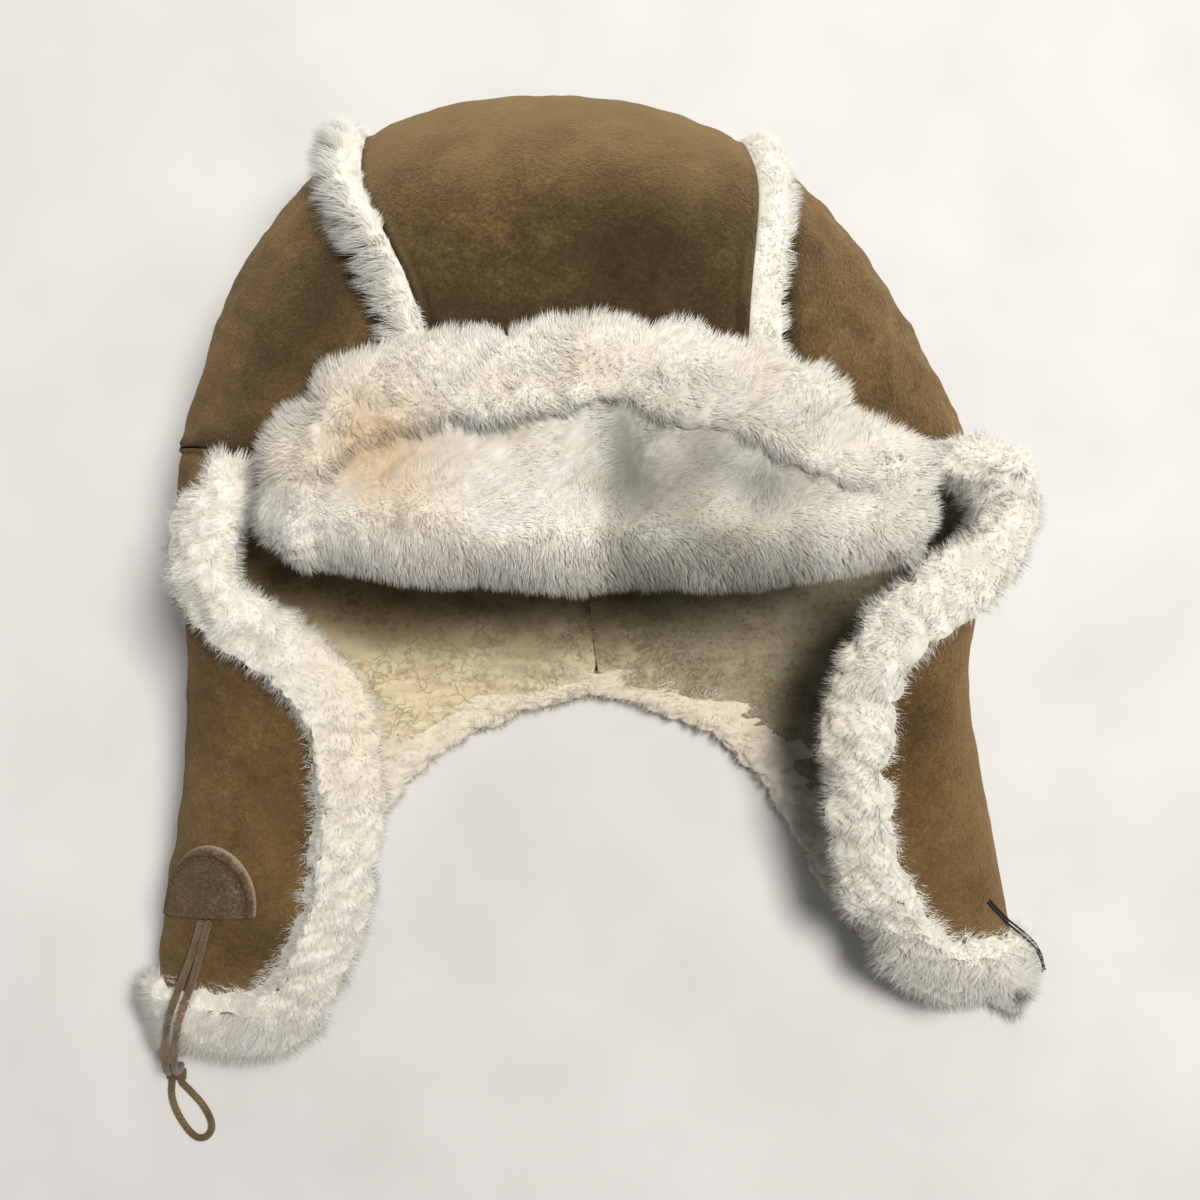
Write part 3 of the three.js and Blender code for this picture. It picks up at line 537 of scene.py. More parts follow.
def middle_panel(elevation, w, depth):
    """The crown between the two strips of wool."""
    left, right = seam_at(-1, elevation) + strip_half, seam_at(1, elevation) - strip_half
    return crown_at(mix(left, right, w), elevation, depth)


def middle_edge(elevation, w):
    """Millimetres to the nearer crown seam, measured across."""
    between = (seam_at(1, elevation) - seam_at(-1, elevation)) * crown_half_width
    return np.minimum(w, 1 - w) * between


def side_panel(side):
    """The crown from a strip of wool to the lower rim, as a function like middle_panel."""
    def point(elevation, w, depth):
        start = np.arcsin(side * seam_at(side, elevation) + strip_half)
        return crown_at(side * np.sin(mix(start, np.pi / 2, w)), elevation, depth)
    return point


side_panel_width = 110  # mm from the seam to the crown's side
rim_degree = 1.7  # mm along the crown for each degree of elevation


def side_edge(elevation, w):
    """Millimetres to the crown seam or to the lower rim, whichever is nearer."""
    return np.minimum(w * side_panel_width, (90 - np.abs(elevation)) * rim_degree)


def centre_painted_light(at):
    """Painted highlight: the centre panel is paler toward the crown's top."""
    return 0.75 * smooth(62, 100, at[..., 1] + 6 * ripples(at, 30, 4))


def centre_painted_shade(at):
    """Painted shade: it is darker toward the visor and in the hollow right of its middle, on the front
    alone.
    """
    low = smooth(60, 18, at[..., 1] + 5 * ripples(at, 26, 9)) * smooth(90, 115, at[..., 2])
    return 0.75 * low + 0.75 * spot(at, 20, 55, 20, 17) * smooth(80, 110, at[..., 2])


def left_painted_shade(at):
    """Painted shade: the left panel is darker in a band that slants beside the strip."""
    along = at[..., 1]
    band = bell(at[..., 0] + 77 - (along - 45) * 0.5, 12) * bell(along - 42, 26)
    return 0.6 * band * smooth(60, 90, at[..., 2])


crown_rows = np.linspace(90, -90, 88)
crown_columns = np.linspace(0, 1, 60)
suede("crown_centre", middle_panel, crown_rows, crown_columns, crown_suede, ["crown_centre_panel"],
      "crown_suede", middle_edge, seed=3, fade_and_light=centre_painted_light, dirt_and_shade=centre_painted_shade)
side_columns = np.linspace(0, 1, 44) ** 0.9
for side, label, dirt_and_shade in ((-1, "left", left_painted_shade), (1, "right", None)):
    suede(f"crown_{label}", side_panel(side), crown_rows, side_columns, side_suede,
          [f"crown_{label}_panel"], "crown_suede", side_edge, creases=0.5, seed=5 + side, dirt_and_shade=dirt_and_shade)


# Crown lining: the sheepskin's own wool, a centimetre deep, curled and crackled into small locks.
# It shows as the dark inside of the head hollow under the visor, and its colour is painted dark brown as
# shade.
wool_gap = 0.95
pile = 10


def scattered(grid, weight, count, random):
    """Random places on a grid of points, as dense as the cells' areas times the weight. Each is a
    cell's number and its shares along the cell's two sides."""
    across = np.linalg.norm(np.diff(grid, axis=1), axis=-1)
    down = np.linalg.norm(np.diff(grid, axis=0), axis=-1)
    area = across[:-1] * down[:, :-1] * weight[:-1, :-1]
    total = np.cumsum(area.ravel())
    cell = np.searchsorted(total, random.uniform(0, total[-1], count))
    return np.unravel_index(cell, area.shape) + (random.uniform(size=count), random.uniform(size=count))


def on_grid(values, places):
    """A grid's values at such places, by shares of the cell's four corners."""
    i, j, v, u = places
    shape = (-1,) + (1,) * (values.ndim - 2)
    v, u = v.reshape(shape), u.reshape(shape)
    return mix(mix(values[i, j], values[i, j + 1], u), mix(values[i + 1, j], values[i + 1, j + 1], u), v)


def nearest(points, centres):
    """Each point's distances to its nearest and second nearest centre, and the nearest's number."""
    points, centres = points.astype(np.float32), centres.astype(np.float32)
    found = []
    for block in np.array_split(points, max(1, len(points) // 8000)):
        square = (block**2).sum(1)[:, None] + (centres**2).sum(1)[None] - 2 * block @ centres.T
        pair = np.argpartition(square, 1, axis=1)[:, :2]
        close = np.take_along_axis(square, pair, 1)
        number = np.take_along_axis(pair, close.argmin(1)[:, None], 1)[:, 0]
        distance = np.sqrt(np.clip(close, 0, None))
        found.append(np.column_stack([distance.min(1), distance.max(1), number]))
    both = np.concatenate(found)
    return both[:, 0], both[:, 1], both[:, 2].astype(int)


def hairs(roots, tips, width, facing):
    """Points and triangles of three-sided spikes from roots to tips, with one side turned to face
    the way the wool's surface does."""
    direction = unit(tips - roots)
    up = unit(facing - direction * (facing * direction).sum(-1, keepdims=True))
    across = np.cross(direction, up)
    turn = np.radians((-60, 60, 180))
    ring = roots[:, None] + width / 2 * (np.cos(turn)[None, :, None] * up[:, None]
                                         + np.sin(turn)[None, :, None] * across[:, None])
    points = np.concatenate([ring, tips[:, None]], 1).reshape(-1, 3)
    first = np.arange(len(roots))[:, None, None] * 4
    return points, (first + np.array([[0, 1, 3], [1, 2, 3], [2, 0, 3]])[None]).reshape(-1, 3)


hair_sunk = 0.6  # mm that a spike's root lies under the wool's surface
body_above = 0.15  # mm that the wool's body keeps over the floor
hair_above = 0.2  # the same for the tips of its hairs


def fleece(name, top, inner, material, replaced, slot, count, length, lay=(0, 0, 0), *, tuft, lumps,
           sink, clump, crevice_shade, seed, spread=0.45, width=0.22, swirl=0.0, weight=1.0, stain=None,
           grey=None, lean=0.45, stand=1.0):
    """Wool: the surface swells into a dome over each lock and sinks between locks, and spikes stand
    on it. A spike leans with the lay of the wool and with its lock, and its tip is drawn to the
    lock's. With no inner grid, the rows of the top grid are the rings of a closed roll."""
    random = np.random.default_rng(seed)
    closed = inner is None
    normal = grid_normals(top, closed)
    away = top - (np.broadcast_to(top.mean(1, keepdims=True), top.shape) if closed else inner)
    normal = normal * np.sign((normal * away).sum(-1).mean())
    if closed:
        radial = unit(away)
        outward = (normal * radial).sum(-1, keepdims=True)
        normal = unit(np.where(outward < 0.3, radial, normal))
    weight = np.broadcast_to(weight, top.shape[:2])
    length = np.broadcast_to(length, top.shape[:2])

    def wrap(values):
        return np.concatenate([values, values[:, :1]], 1) if closed else values

    cells = max(30, int(surface_area(wrap(top)) / tuft**2))
    locks_at = on_grid(wrap(top), scattered(wrap(top), np.ones_like(wrap(weight)), cells, random))
    lock_lean = random.normal(size=(cells, 3)) * lean
    swirls = np.stack([ripples(top, 30, seed + k) for k in (2, 3, 4)], -1)
    lay = np.broadcast_to(np.asarray(lay, float), top.shape) + swirl * swirls
    lock_tone = random.uniform(0, 1, cells)
    flat = top.reshape(-1, 3)
    near, second, number = nearest(flat, locks_at)
    dome = 1 - np.clip(near / (0.75 * tuft), 0, 1) ** 2
    crevice = 1 - smooth(0, 0.22 * tuft, second - near)
    fade = smooth(0, 0.15, weight).ravel()
    lumpy = lumps * (dome - 0.45 * crevice) + 0.5 * lumps * ripples(flat, 3.2 * tuft, seed + 1)
    rise = fade * lumpy - sink
    raised_top = (flat + normal.reshape(-1, 3) * rise[:, None]).reshape(top.shape)
    raised_top[..., 2] = np.maximum(raised_top[..., 2], body_above)
    if closed:
        body_points, body_triangles = ring_solid(raised_top)
        kept = np.concatenate([np.arange(len(flat)), [0, len(flat) - 1]])
    else:
        body_points, body_triangles, kept = shell_solid(raised_top, inner)
        kept = kept % len(flat)

    places = scattered(wrap(top), wrap(weight), count, random)
    roots = on_grid(wrap(raised_top), places)
    root_normal = unit(on_grid(wrap(normal), places))
    hair_length = on_grid(wrap(length), places) * random.uniform(0.65, 1.25, count)
    root_near, root_second, lock = nearest(roots, locks_at)
    lock_way = root_normal * stand + on_grid(wrap(lay), places) + lock_lean[lock]
    way = lock_way + random.normal(size=(count, 3)) * spread
    way -= root_normal * np.minimum(0, (way * root_normal).sum(1, keepdims=True))
    tips = roots + unit(way) * hair_length[:, None]
    lock_tips = locks_at[lock] + unit(lock_way) * hair_length[:, None]
    tips = mix(tips, lock_tips, (clump * random.uniform(0.4, 1, count))[:, None])
    tips[:, 2] = np.maximum(tips[:, 2], hair_above)
    thick = width * random.uniform(0.7, 1.3, (count, 1, 1))
    hair = hairs(roots - hair_sunk * root_normal, tips, thick, root_normal)
    points, triangles = joined((body_points, body_triangles), hair)

    def everywhere(on_body, on_hairs):
        """One number for each point: the body's, and each spike's on its four points."""
        return np.concatenate([on_body[kept], np.repeat(on_hairs, 4)])

    def painted(paint):
        return everywhere(paint(flat), paint(roots)) if paint else np.zeros(len(points))

    hair_tone = 0.6 * lock_tone[lock] + 0.4 * random.uniform(0, 1, count)
    # On the wool's body this is painted shade: darker off the domes of the locks and in the crevices
    # between them. On a spike it runs from root to tip.
    along = everywhere(0.1 + 0.45 * dome * (1 - 0.8 * crevice), np.full(count, 0.15))
    along[len(kept) + 3::4] = 1
    # Painted shade in the crevices between locks, on the body and on spikes beside a lock's border
    parted = everywhere(crevice, 0.5 * (1 - smooth(0, 0.16 * tuft, root_second - root_near)))
    parted[len(kept) + 3::4] = 0
    item = piece(name, points, triangles, material, replaced, slot, along=along,
                 tone=everywhere(0.8 * lock_tone[number] + 0.1, hair_tone), stain=painted(stain),
                 grey=np.clip(painted(grey), 0, 1), crevice=np.clip(crevice_shade * parted, 0, 1))
    # Wool is lit as one soft surface, so a spike's normals lean to those of the surface it stands on
    # and, as light that scatters between hairs comes from above, all of them lean upward
    normals = np.empty(3 * len(points), np.float32)
    item.data.vertex_normals.foreach_get("vector", normals)
    normals = normals.reshape(-1, 3)
    on_hairs = normals[len(body_points):]
    normals[len(body_points):] = unit(0.3 * on_hairs + np.repeat(root_normal, 4, axis=0))
    normals = unit(normals + np.array((0, 0, 0.5)) * (normals[:, 2:] > -0.5))
    item.data.normals_split_custom_set_from_vertices(normals)
    return item


def surface_area(grid):
    """The sum of the cells' areas, by the cross product of their sides."""
    down, across = np.diff(grid, axis=0)[:, :-1], np.diff(grid, axis=1)[:-1]
    return np.linalg.norm(np.cross(down, across), axis=-1).sum()


def wool_paint(name, root, tip, stain_and_shade_colour, deep, crackle=0, streak=0):
    """Wool: deeper and yellower at the roots, bright at the tips, each lock of its own tone; the deeper
    roots are partly painted shade.
    Streaks run along the combed wool, and fine broken crack lines part matted wool, with painted shade
    round them."""
    paint = Paint(name)
    along = paint.attribute("along")
    tone = paint.attribute("tone")
    patch = paint.noise(24, 3)
    fine = paint.noise(0.8, 3, 0.7, None, 0.25, 0.75)
    colour = paint.blend(along ** 0.8, root, tip)
    colour = paint.blend(0.22 * tone * patch, colour, stain_and_shade_colour)
    colour = paint.blend(0.5 * tone ** 3, colour, root)
    # Real stains on the visor and the hem; in the lining, painted shade of the head hollow
    colour = paint.blend(paint.attribute("stain"), colour, stain_and_shade_colour)
    colour = paint.blend(0.25 * (1 - fine), colour, root)
    if streak:
        combed = paint.node("Mapping", {"vector_type": "TEXTURE"}, {
            "Vector": paint.place(), "Rotation": (0, 0, streak), "Scale": (7, 1, 1)})
        colour = paint.blend(0.7 * paint.noise(1.3, 3, 0.6, combed, 0.48, 0.68), colour, root)
        colour = paint.blend(0.35 * paint.noise(3.2, 2, 0.6, combed, 0.52, 0.7), colour, deep)
    # Painted shade, toward a dark drab brown
    colour = paint.blend(0.9 * paint.attribute("grey"), colour, (0.16, 0.155, 0.12, 1))
    # Painted shade in the crevices between locks
    colour = paint.blend(paint.attribute("crevice"), colour, deep)
    if crackle:
        cells = {"Vector": paint.warped(6, (11, 9, 9)), "Scale": 1 / crackle}
        edge = paint.node("TexVoronoi", {"feature": "DISTANCE_TO_EDGE"}, cells)
        broken = edge + 0.16 * (1 - paint.noise(9, 3, 0.6, None, 0.35, 0.55))
        thin = paint.node("MapRange", {}, {0: broken, 1: 0.0, 2: 0.2, 3: 1.0, 4: 0.0}) ** 1.4
        broad = paint.node("MapRange", {}, {0: edge, 1: 0.0, 2: 0.5, 3: 1.0, 4: 0.0})
        # Painted shade round each crack line
        colour = paint.blend(0.35 * broad, colour, root)
        colour = paint.blend(0.55 * thin * paint.noise(30, 2, 0.5, None, 0.3, 0.5), colour, deep)
    return paint.finish(colour, 0.85, sheen=0.15, tint=(1, 0.97, 0.9, 1))


cream_wool = wool_paint("cream_wool", (0.66, 0.61, 0.50, 1), (0.95, 0.935, 0.88, 1),
                        (0.80, 0.66, 0.45, 1), (0.40, 0.35, 0.27, 1))
visor_paint = wool_paint("visor_wool", (0.62, 0.57, 0.47, 1), (0.96, 0.95, 0.90, 1),
                         (0.60, 0.40, 0.20, 1), (0.30, 0.27, 0.20, 1), streak=0.63)
# Painted shade: the lining's dark brown here is the shade of the head hollow, painted where a piece asks
# for it
lining_wool = wool_paint("lining_wool", (0.64, 0.52, 0.30, 1), (0.98, 0.91, 0.68, 1),
                         (0.13, 0.075, 0.026, 1), (0.10, 0.06, 0.022, 1), crackle=4.0)

lining_cells = 64
lining_turn, lining_elevation = np.meshgrid(np.linspace(-1, 1, lining_cells) * np.pi / 2,
                                            np.linspace(90, -90, lining_cells), indexing="xy")
lining_top = crown_at(np.sin(lining_turn), lining_elevation, leather + wool_gap + pile)
lining_inner = crown_at(np.sin(lining_turn), lining_elevation, leather + wool_gap)
lining_fade = smooth(0, 0.4, np.cos(lining_turn)) * smooth(90, 80, np.abs(lining_elevation))
# Painted shade: the whole crown lining is painted dark brown, as the shade of the head hollow.
fleece("crown_wool", lining_top, lining_inner, lining_wool, ["crown_pile"], "lining_wool", 7000, 1.8,
       tuft=6, lumps=2.0, sink=1.4, clump=0.6, weight=lining_fade, crevice_shade=0.2,
       stain=lambda at: np.full(len(at), 0.85), seed=11)


# Wool strips: narrow bands of sheepskin sewn into the crown's two seams with the wool outward. The
# left one is long and ragged and combed over the left panel, the right one short and smooth.
strip_rise = 7
strip_pressed = 0.5


def strip_grids(side, reach):
    """The strip's crest and foot: it stands highest along its middle, low under the visor and flat
    where the hat lies on it."""
    elevation, w = np.meshgrid(np.linspace(88.5, -88.5, 150), np.linspace(0, 1, 14), indexing="ij")
    half = strip_half - gap / crown_half_width
    across = seam_at(side, elevation) + mix(-half, half, w)
    bare = crown_at(across, elevation, 0)
    on_floor = np.where(elevation > 0, 1, smooth(1, 14, bare[..., 2]))
    crest = 0.12 + 0.88 * np.sin(np.pi * np.clip(w, 0, 1)) ** 0.7
    rise = reach * on_floor * crest * strip_rise * mix(strip_pressed, 1, smooth(62, 50, elevation))
    return crown_at(across, elevation, -rise), crown_at(across, elevation, leather), on_floor, w


for side, label, reach, length, lay, count in (
        (-1, "left", 0.95, 7.5, (-0.7, -0.05, 0.35), 16000),
        (1, "right", 0.8, 3.6, (0.2, 0.2, 0.1), 11000)):
    crest, foot, on_floor, w = strip_grids(side, reach)
    outer_share = w if side > 0 else 1 - w
    combed = np.array(lay) * smooth(0.1, 0.7, outer_share)[..., None]
    inward = np.array((-0.25 * side, 0, 0.1)) * smooth(0.3, 0, outer_share)[..., None]
    long = length * (0.4 + 0.6 * on_floor) * mix(0.35, 1, smooth(0, 0.6, outer_share))
    fleece(f"{label}_seam_wool", crest, foot, cream_wool, [f"{label}_seam_fur"], "cream_wool", count,
           long, combed + inward, tuft=5, lumps=0.8, sink=1.0, clump=0.45, spread=0.35,
           weight=0.1 + on_floor * (1.2 - 0.3 * outer_share), crevice_shade=0.15, seed=21 + side)


# Visor: a flap of sheepskin that is folded up over the forehead, so its wool faces out. Its suede
# back hides against the crown, and its wool is long and loose along the upper edge.
visor_fold = 27
visor_fold_lift = 9
visor_left = 79
visor_right = 93
visor_reach = 50
visor_fold_radius = 4.75
visor_pile = 13
visor_roll = 20
visor_roll_half = 10.5
visor_edge = [
    (-0.58, -0.24), (-0.527, -0.06), (-0.443, 0.05), (-0.336, 0.11), (-0.153, 0.15), (0.061, 0.22),
    (0.26, 0.15), (0.397, 0.07), (0.504, -0.08), (0.595, -0.2), (0.672, -0.27),
]
fold_height = 2 * visor_fold_radius


def height_left(across, toward_top):
    """The share of height that is left on the superellipse by the shares across and toward the top."""
    left = 1 - np.abs(across) ** crown_power - toward_top**crown_power
    return np.clip(left, 0, None) ** (1 / crown_power)


def over_crown(x, y, above):
    """The point above x and y on the crown grown by `above`: the shares across and toward the top
    are found by four rounds of undoing the taper and the lean."""
    x, y, above = np.broadcast_arrays(x, y, above)
    across = np.clip(x / (crown_half_width + above), -0.99, 0.99)
    toward_top = np.zeros_like(across)
    for _ in range(4):
        rim = rim_at(across, height_left(across, toward_top))
        toward_top = np.clip((y - rim) / (crown_depth + above - rim), 0, None)
        taper = mix(*crown_taper, (across + 1) / 2) * (1 - (1 - toward_top) ** 2.5)
        straight = (x + crown_lean * toward_top**2) / (crown_half_width + above)
        across = np.clip(straight / (1 - taper), -0.97, 0.97)
    rise = crown_front_rise + crown_bulge * smooth(0, 0.75, toward_top) + above
    return np.stack([x, y, crown_middle + height_left(across, toward_top) * rise], -1)


def fold_point(w):
    """The line of the visor's fold in plan: it rises to its two ends by a cube."""
    return mix(-visor_left, visor_right, w), -visor_fold + visor_fold_lift * np.abs(2 * w - 1) ** 3


def fold_row(degrees, w, radius):
    """The visor round its fold: a half circle about the fold's line, from below to above."""
    x, y = fold_point(w)
    turn = np.radians(degrees)
    return over_crown(x, y - radius * np.cos(turn), visor_fold_radius + radius * np.sin(turn))


def visor_row(up, w, above):
    """The visor above its fold: between the fold and the upper edge's table."""
    edge_x, edge_y = np.moveaxis(along_table(visor_edge, w * (len(visor_edge) - 1)), -1, 0)
    x, y = fold_point(w)
    return over_crown(mix(x, edge_x * crown_half_width, up), mix(y, edge_y * visor_reach, up), above)


def visor_seam_row(w, above):
    """The row that is sewn to the crown's front edge."""
    x, _ = fold_point(w)
    across = x / crown_half_width
    return over_crown(x, rim_at(across, height_left(across, 0)) - gap, above)


visor_w = np.linspace(0, 1, 120)
visor_ups = np.linspace(0, 1, 34)[1:]


def visor_grid(turns, radius_at, above):
    """The visor as a grid: rows round its fold by degrees, and then rows up to its upper edge."""
    return np.concatenate([np.stack([fold_row(turn, visor_w, radius_at(turn)) for turn in turns]),
                           np.stack([visor_row(up, visor_w, above) for up in visor_ups])])


def backing_grid(depth):
    """The suede back: the row sewn to the crown, and then the fold and the face, grown by a depth."""
    grid = visor_grid(np.linspace(-90, 90, 13), lambda turn: visor_fold_radius + depth, fold_height + depth)
    return np.concatenate([visor_seam_row(visor_w, -depth)[None], grid])[:, ::2]


backing_points, backing_triangles, _ = shell_solid(backing_grid(leather), backing_grid(0))
piece("visor_suede", backing_points, backing_triangles, crown_suede, ["visor_backing"], "crown_suede",
      seam=np.zeros(len(backing_points)), worn=np.zeros(len(backing_points)))

fur_base = visor_fold_radius + leather + wool_gap
fur_turns = np.linspace(-45, 90, 18)
visor_top = visor_grid(fur_turns, lambda turn: fur_base + visor_pile * smooth(-130, 30, turn),
                       fold_height + leather + wool_gap + visor_pile)
visor_inner = visor_grid(fur_turns, lambda turn: fur_base, fold_height + leather + wool_gap)
in_fold = np.linspace(-1, 0, len(fur_turns))
visor_climb = np.concatenate([in_fold, visor_ups])[:, None] * np.ones(len(visor_w))


def gash(points, start, end, width, depth):
    """A narrow hollow from one place in plan to another: a bell curve of the distance to the line."""
    start, end = np.array(start, float), np.array(end, float)
    line = end - start
    share = np.clip(((points[..., :2] - start) @ line) / (line @ line), 0, 1)
    away = np.linalg.norm(points[..., :2] - start - share[..., None] * line, axis=-1)
    return -depth * bell(away, width) * (1 - 0.5 * share)


# Creases of the visor's face in plan, in millimetres: start, end, width and depth
visor_creases = [
    ((8, 19), (16, -25), 3.0, 5.0),
    ((-36, 11), (-24, 13), 2.0, 2.4),
    ((-24, 13), (-6, 8), 2.0, 2.4),
    ((-6, 8), (7, 19), 2.2, 2.6),
    ((34, 12), (58, -3), 2.4, 2.4),
    ((58, -3), (72, -22), 2.2, 2.6),
    ((-50, 2), (-36, 11), 2.0, 1.6),
]
visor_normal = grid_normals(visor_top)
visor_normal *= np.sign((visor_normal * (visor_top - visor_inner)).sum(-1).mean())
visor_dip = sum(gash(visor_top, *crease) for crease in visor_creases)
visor_dip = visor_dip + 2.2 * smooth(0.62, 1, visor_climb) + 1.3 * ripples(visor_top, 38, 5)
visor_top = visor_top + visor_normal * visor_dip[..., None]


def visor_stain(points):
    """Yellowed by the forehead on the left of the middle, and a little along the upper edge."""
    left, top = spot(points, -56, -7, 17, 17), spot(points, -5, 14, 60, 7)
    return np.clip(0.95 * left + 0.14 * top + 0.1 * ripples(points, 30, 8), 0, 0.85)


def visor_painted_shade(points):
    """The wool is flattened right of the middle seam. Painted shade darkens it there, most along the seam
    and toward the fold, and in a spot left of the middle.
    """
    right = smooth(4, 12, points[:, 0]) * smooth(88, 52, points[:, 0]) * smooth(22, 10, points[:, 1])
    seam = bell(points[:, 0] - 11, 8) * smooth(-38, -5, points[:, 1])
    upper = spot(points, -22, 8, 16, 8)
    return 0.8 * right * (0.85 + 0.25 * ripples(points, 22, 6)) + 0.3 * seam + 0.35 * upper


visor_lay = mix(np.array((0.75, 0.55, 0.0)), np.array((0.3, -0.9, 0.1)),
                smooth(0.4, -0.7, visor_climb)[..., None])
fleece("visor_wool", visor_top, visor_inner, visor_paint, ["visor_fur"], "cream_wool", 40000, 3.8,
       visor_lay, tuft=4, lumps=0.4, sink=1.8, clump=0.15, spread=0.2, width=0.3, swirl=0.25,
       stain=visor_stain, grey=visor_painted_shade, crevice_shade=0.1, lean=0.15, seed=31, stand=0.4)


roll_overlap = 3.5  # mm that a roll bulges back over the edge of its skin
merged_overlap = 10  # the same where it merges with the visor's wool
hem_overlap = 15  # the same where it merges with the flaps' lining
skin_margin = 0.85  # mm from the edge of a skin to the middle of its roll


def roll_grid(at, out, up, skin_half, width, half, turns, above, below):
    """A roll along the edge of a skin. A ring's point lies out by the width times the cosine, or
    back by the overlap above or below the skin times it, and up by the half thickness times the sine."""
    turn = np.radians(turns)
    overlap = mix(above, below, smooth(165, 195, turns))
    forward = np.clip(np.cos(turn), 0, None)[None] ** 0.9
    back = (overlap * np.clip(np.cos(turn), None, 0))[None]
    reach = skin_margin + (width - skin_margin)[:, None] * forward + back
    across = np.maximum(half, skin_half)[:, None] * np.sin(turn)[None]
    points = at[:, None] + reach[..., None] * out[:, None] + across[..., None] * up[:, None]
    points[..., 2] = np.maximum(points[..., 2], 0.2)
    return points


def eased(values, reach):
    """Each row of a table averaged with its neighbours by a bell curve, with the ends repeated."""
    kernel = np.exp(-(np.arange(-2 * reach, 2 * reach + 1) / reach) ** 2)
    kernel /= kernel.sum()
    padded = np.pad(values, ((2 * reach, 2 * reach), (0, 0)), "edge")
    return np.stack([np.convolve(padded[:, k], kernel, "valid") for k in range(values.shape[1])], 1)


def border_path(outer, inner, edges, count):
    """The border of two grids as a path: its middle, the direction out of the grid, the direction
    from the inner to the outer grid, half of the distance between them and the share of the way."""
    at = np.concatenate([mix(outer[edge], inner[edge], 0.5) for edge, _ in edges])
    within = np.concatenate([mix(outer[row], inner[row], 0.5) for _, row in edges])
    thick = np.concatenate([outer[edge] - inner[edge] for edge, _ in edges])
    lengths = np.linalg.norm(np.diff(at, axis=0), axis=1)
    travelled = np.concatenate([[0], np.cumsum(lengths)])
    wanted = np.linspace(0, travelled[-1], count)

    def again(values):
        return np.stack([np.interp(wanted, travelled, values[:, k]) for k in range(3)], 1)

    out = eased(unit(again(at - within)), 4)
    thick = eased(again(thick), 3)
    up = unit(thick)
    out = unit(out - up * (out * up).sum(-1, keepdims=True))
    return eased(again(at), 4), out, up, np.linalg.norm(thick, axis=-1) / 2, wanted / travelled[-1]


def edge_of(line, fixed, inset, along_row=False):
    """An edge of a grid and the line of points that lies `inset` behind it: the points of the line
    in one index, with the other index fixed."""
    if along_row:
        return (0 * line + fixed, line), (0 * line + fixed - inset, line)
    return (line, 0 * line + fixed), (line, 0 * line + fixed - inset)


roll_turns = np.concatenate([np.linspace(-90, 90, 19), [105, 125, 150, 180, 210, 235, 255]])
visor_rings = 190
last_row, last_column = visor_top.shape[0] - 1, visor_top.shape[1] - 1
visor_edges = [
    edge_of(np.arange(last_row + 1), 0, -4),
    edge_of(np.arange(1, last_column + 1), last_row, 4, along_row=True),
    edge_of(np.arange(last_row - 1, -1, -1), last_column, 4),
]
plain_inner = visor_grid(fur_turns, lambda turn: visor_fold_radius, fold_height)
edge_at, edge_out, edge_up, edge_half, edge_w = border_path(visor_top, plain_inner, visor_edges,
                                                            visor_rings)
edge_fade = smooth(0, 0.25, np.minimum(edge_w, 1 - edge_w))
edge_grid = roll_grid(edge_at, edge_out, edge_up, edge_half, mix(0.62, 1, edge_fade) * visor_roll,
                      mix(0.85, 1, edge_fade) * visor_roll_half, roll_turns, merged_overlap, roll_overlap)
inward_share = smooth(60, 130, roll_turns)[None, :, None]
edge_lay = mix(edge_out[:, None] * 0.35 + np.array((0.25, 0.1, 0.15)), np.array((0.9, 0.6, 0.0)),
               inward_share)
# The roll's wool gets a quarter of the visor's painted shade.
fleece("visor_edge_wool", edge_grid, None, visor_paint, ["visor_edge_fur"], "cream_wool", 42000, 4.6,
       edge_lay, tuft=9, lumps=2.0, sink=1.9, clump=0.18, spread=0.4, width=0.26, swirl=0.6, lean=0.25,
       weight=np.where(roll_turns <= 150, 1.0, 0.0)[None], crevice_shade=0.15, stain=visor_stain,
       grey=lambda at: 0.25 * visor_painted_shade(at), seed=41)


# Ear flaps: each is one skin of suede with its wool inside, sewn to the crown's rim and to the
# other at the middle of the nape. It lies on its rear edge and stands round an open fold.
flap_length = 195
flap_height = 100
flap_pile = 8
seam_gap = 0.8
bend_at = 0.56
nape_hem = 2  # the row where the hem of the nape begins
flap_power = 2.4
front_roll = 21
front_roll_half = 10.5
tip_roll = 27
rear_roll = 14
rear_roll_half = 7
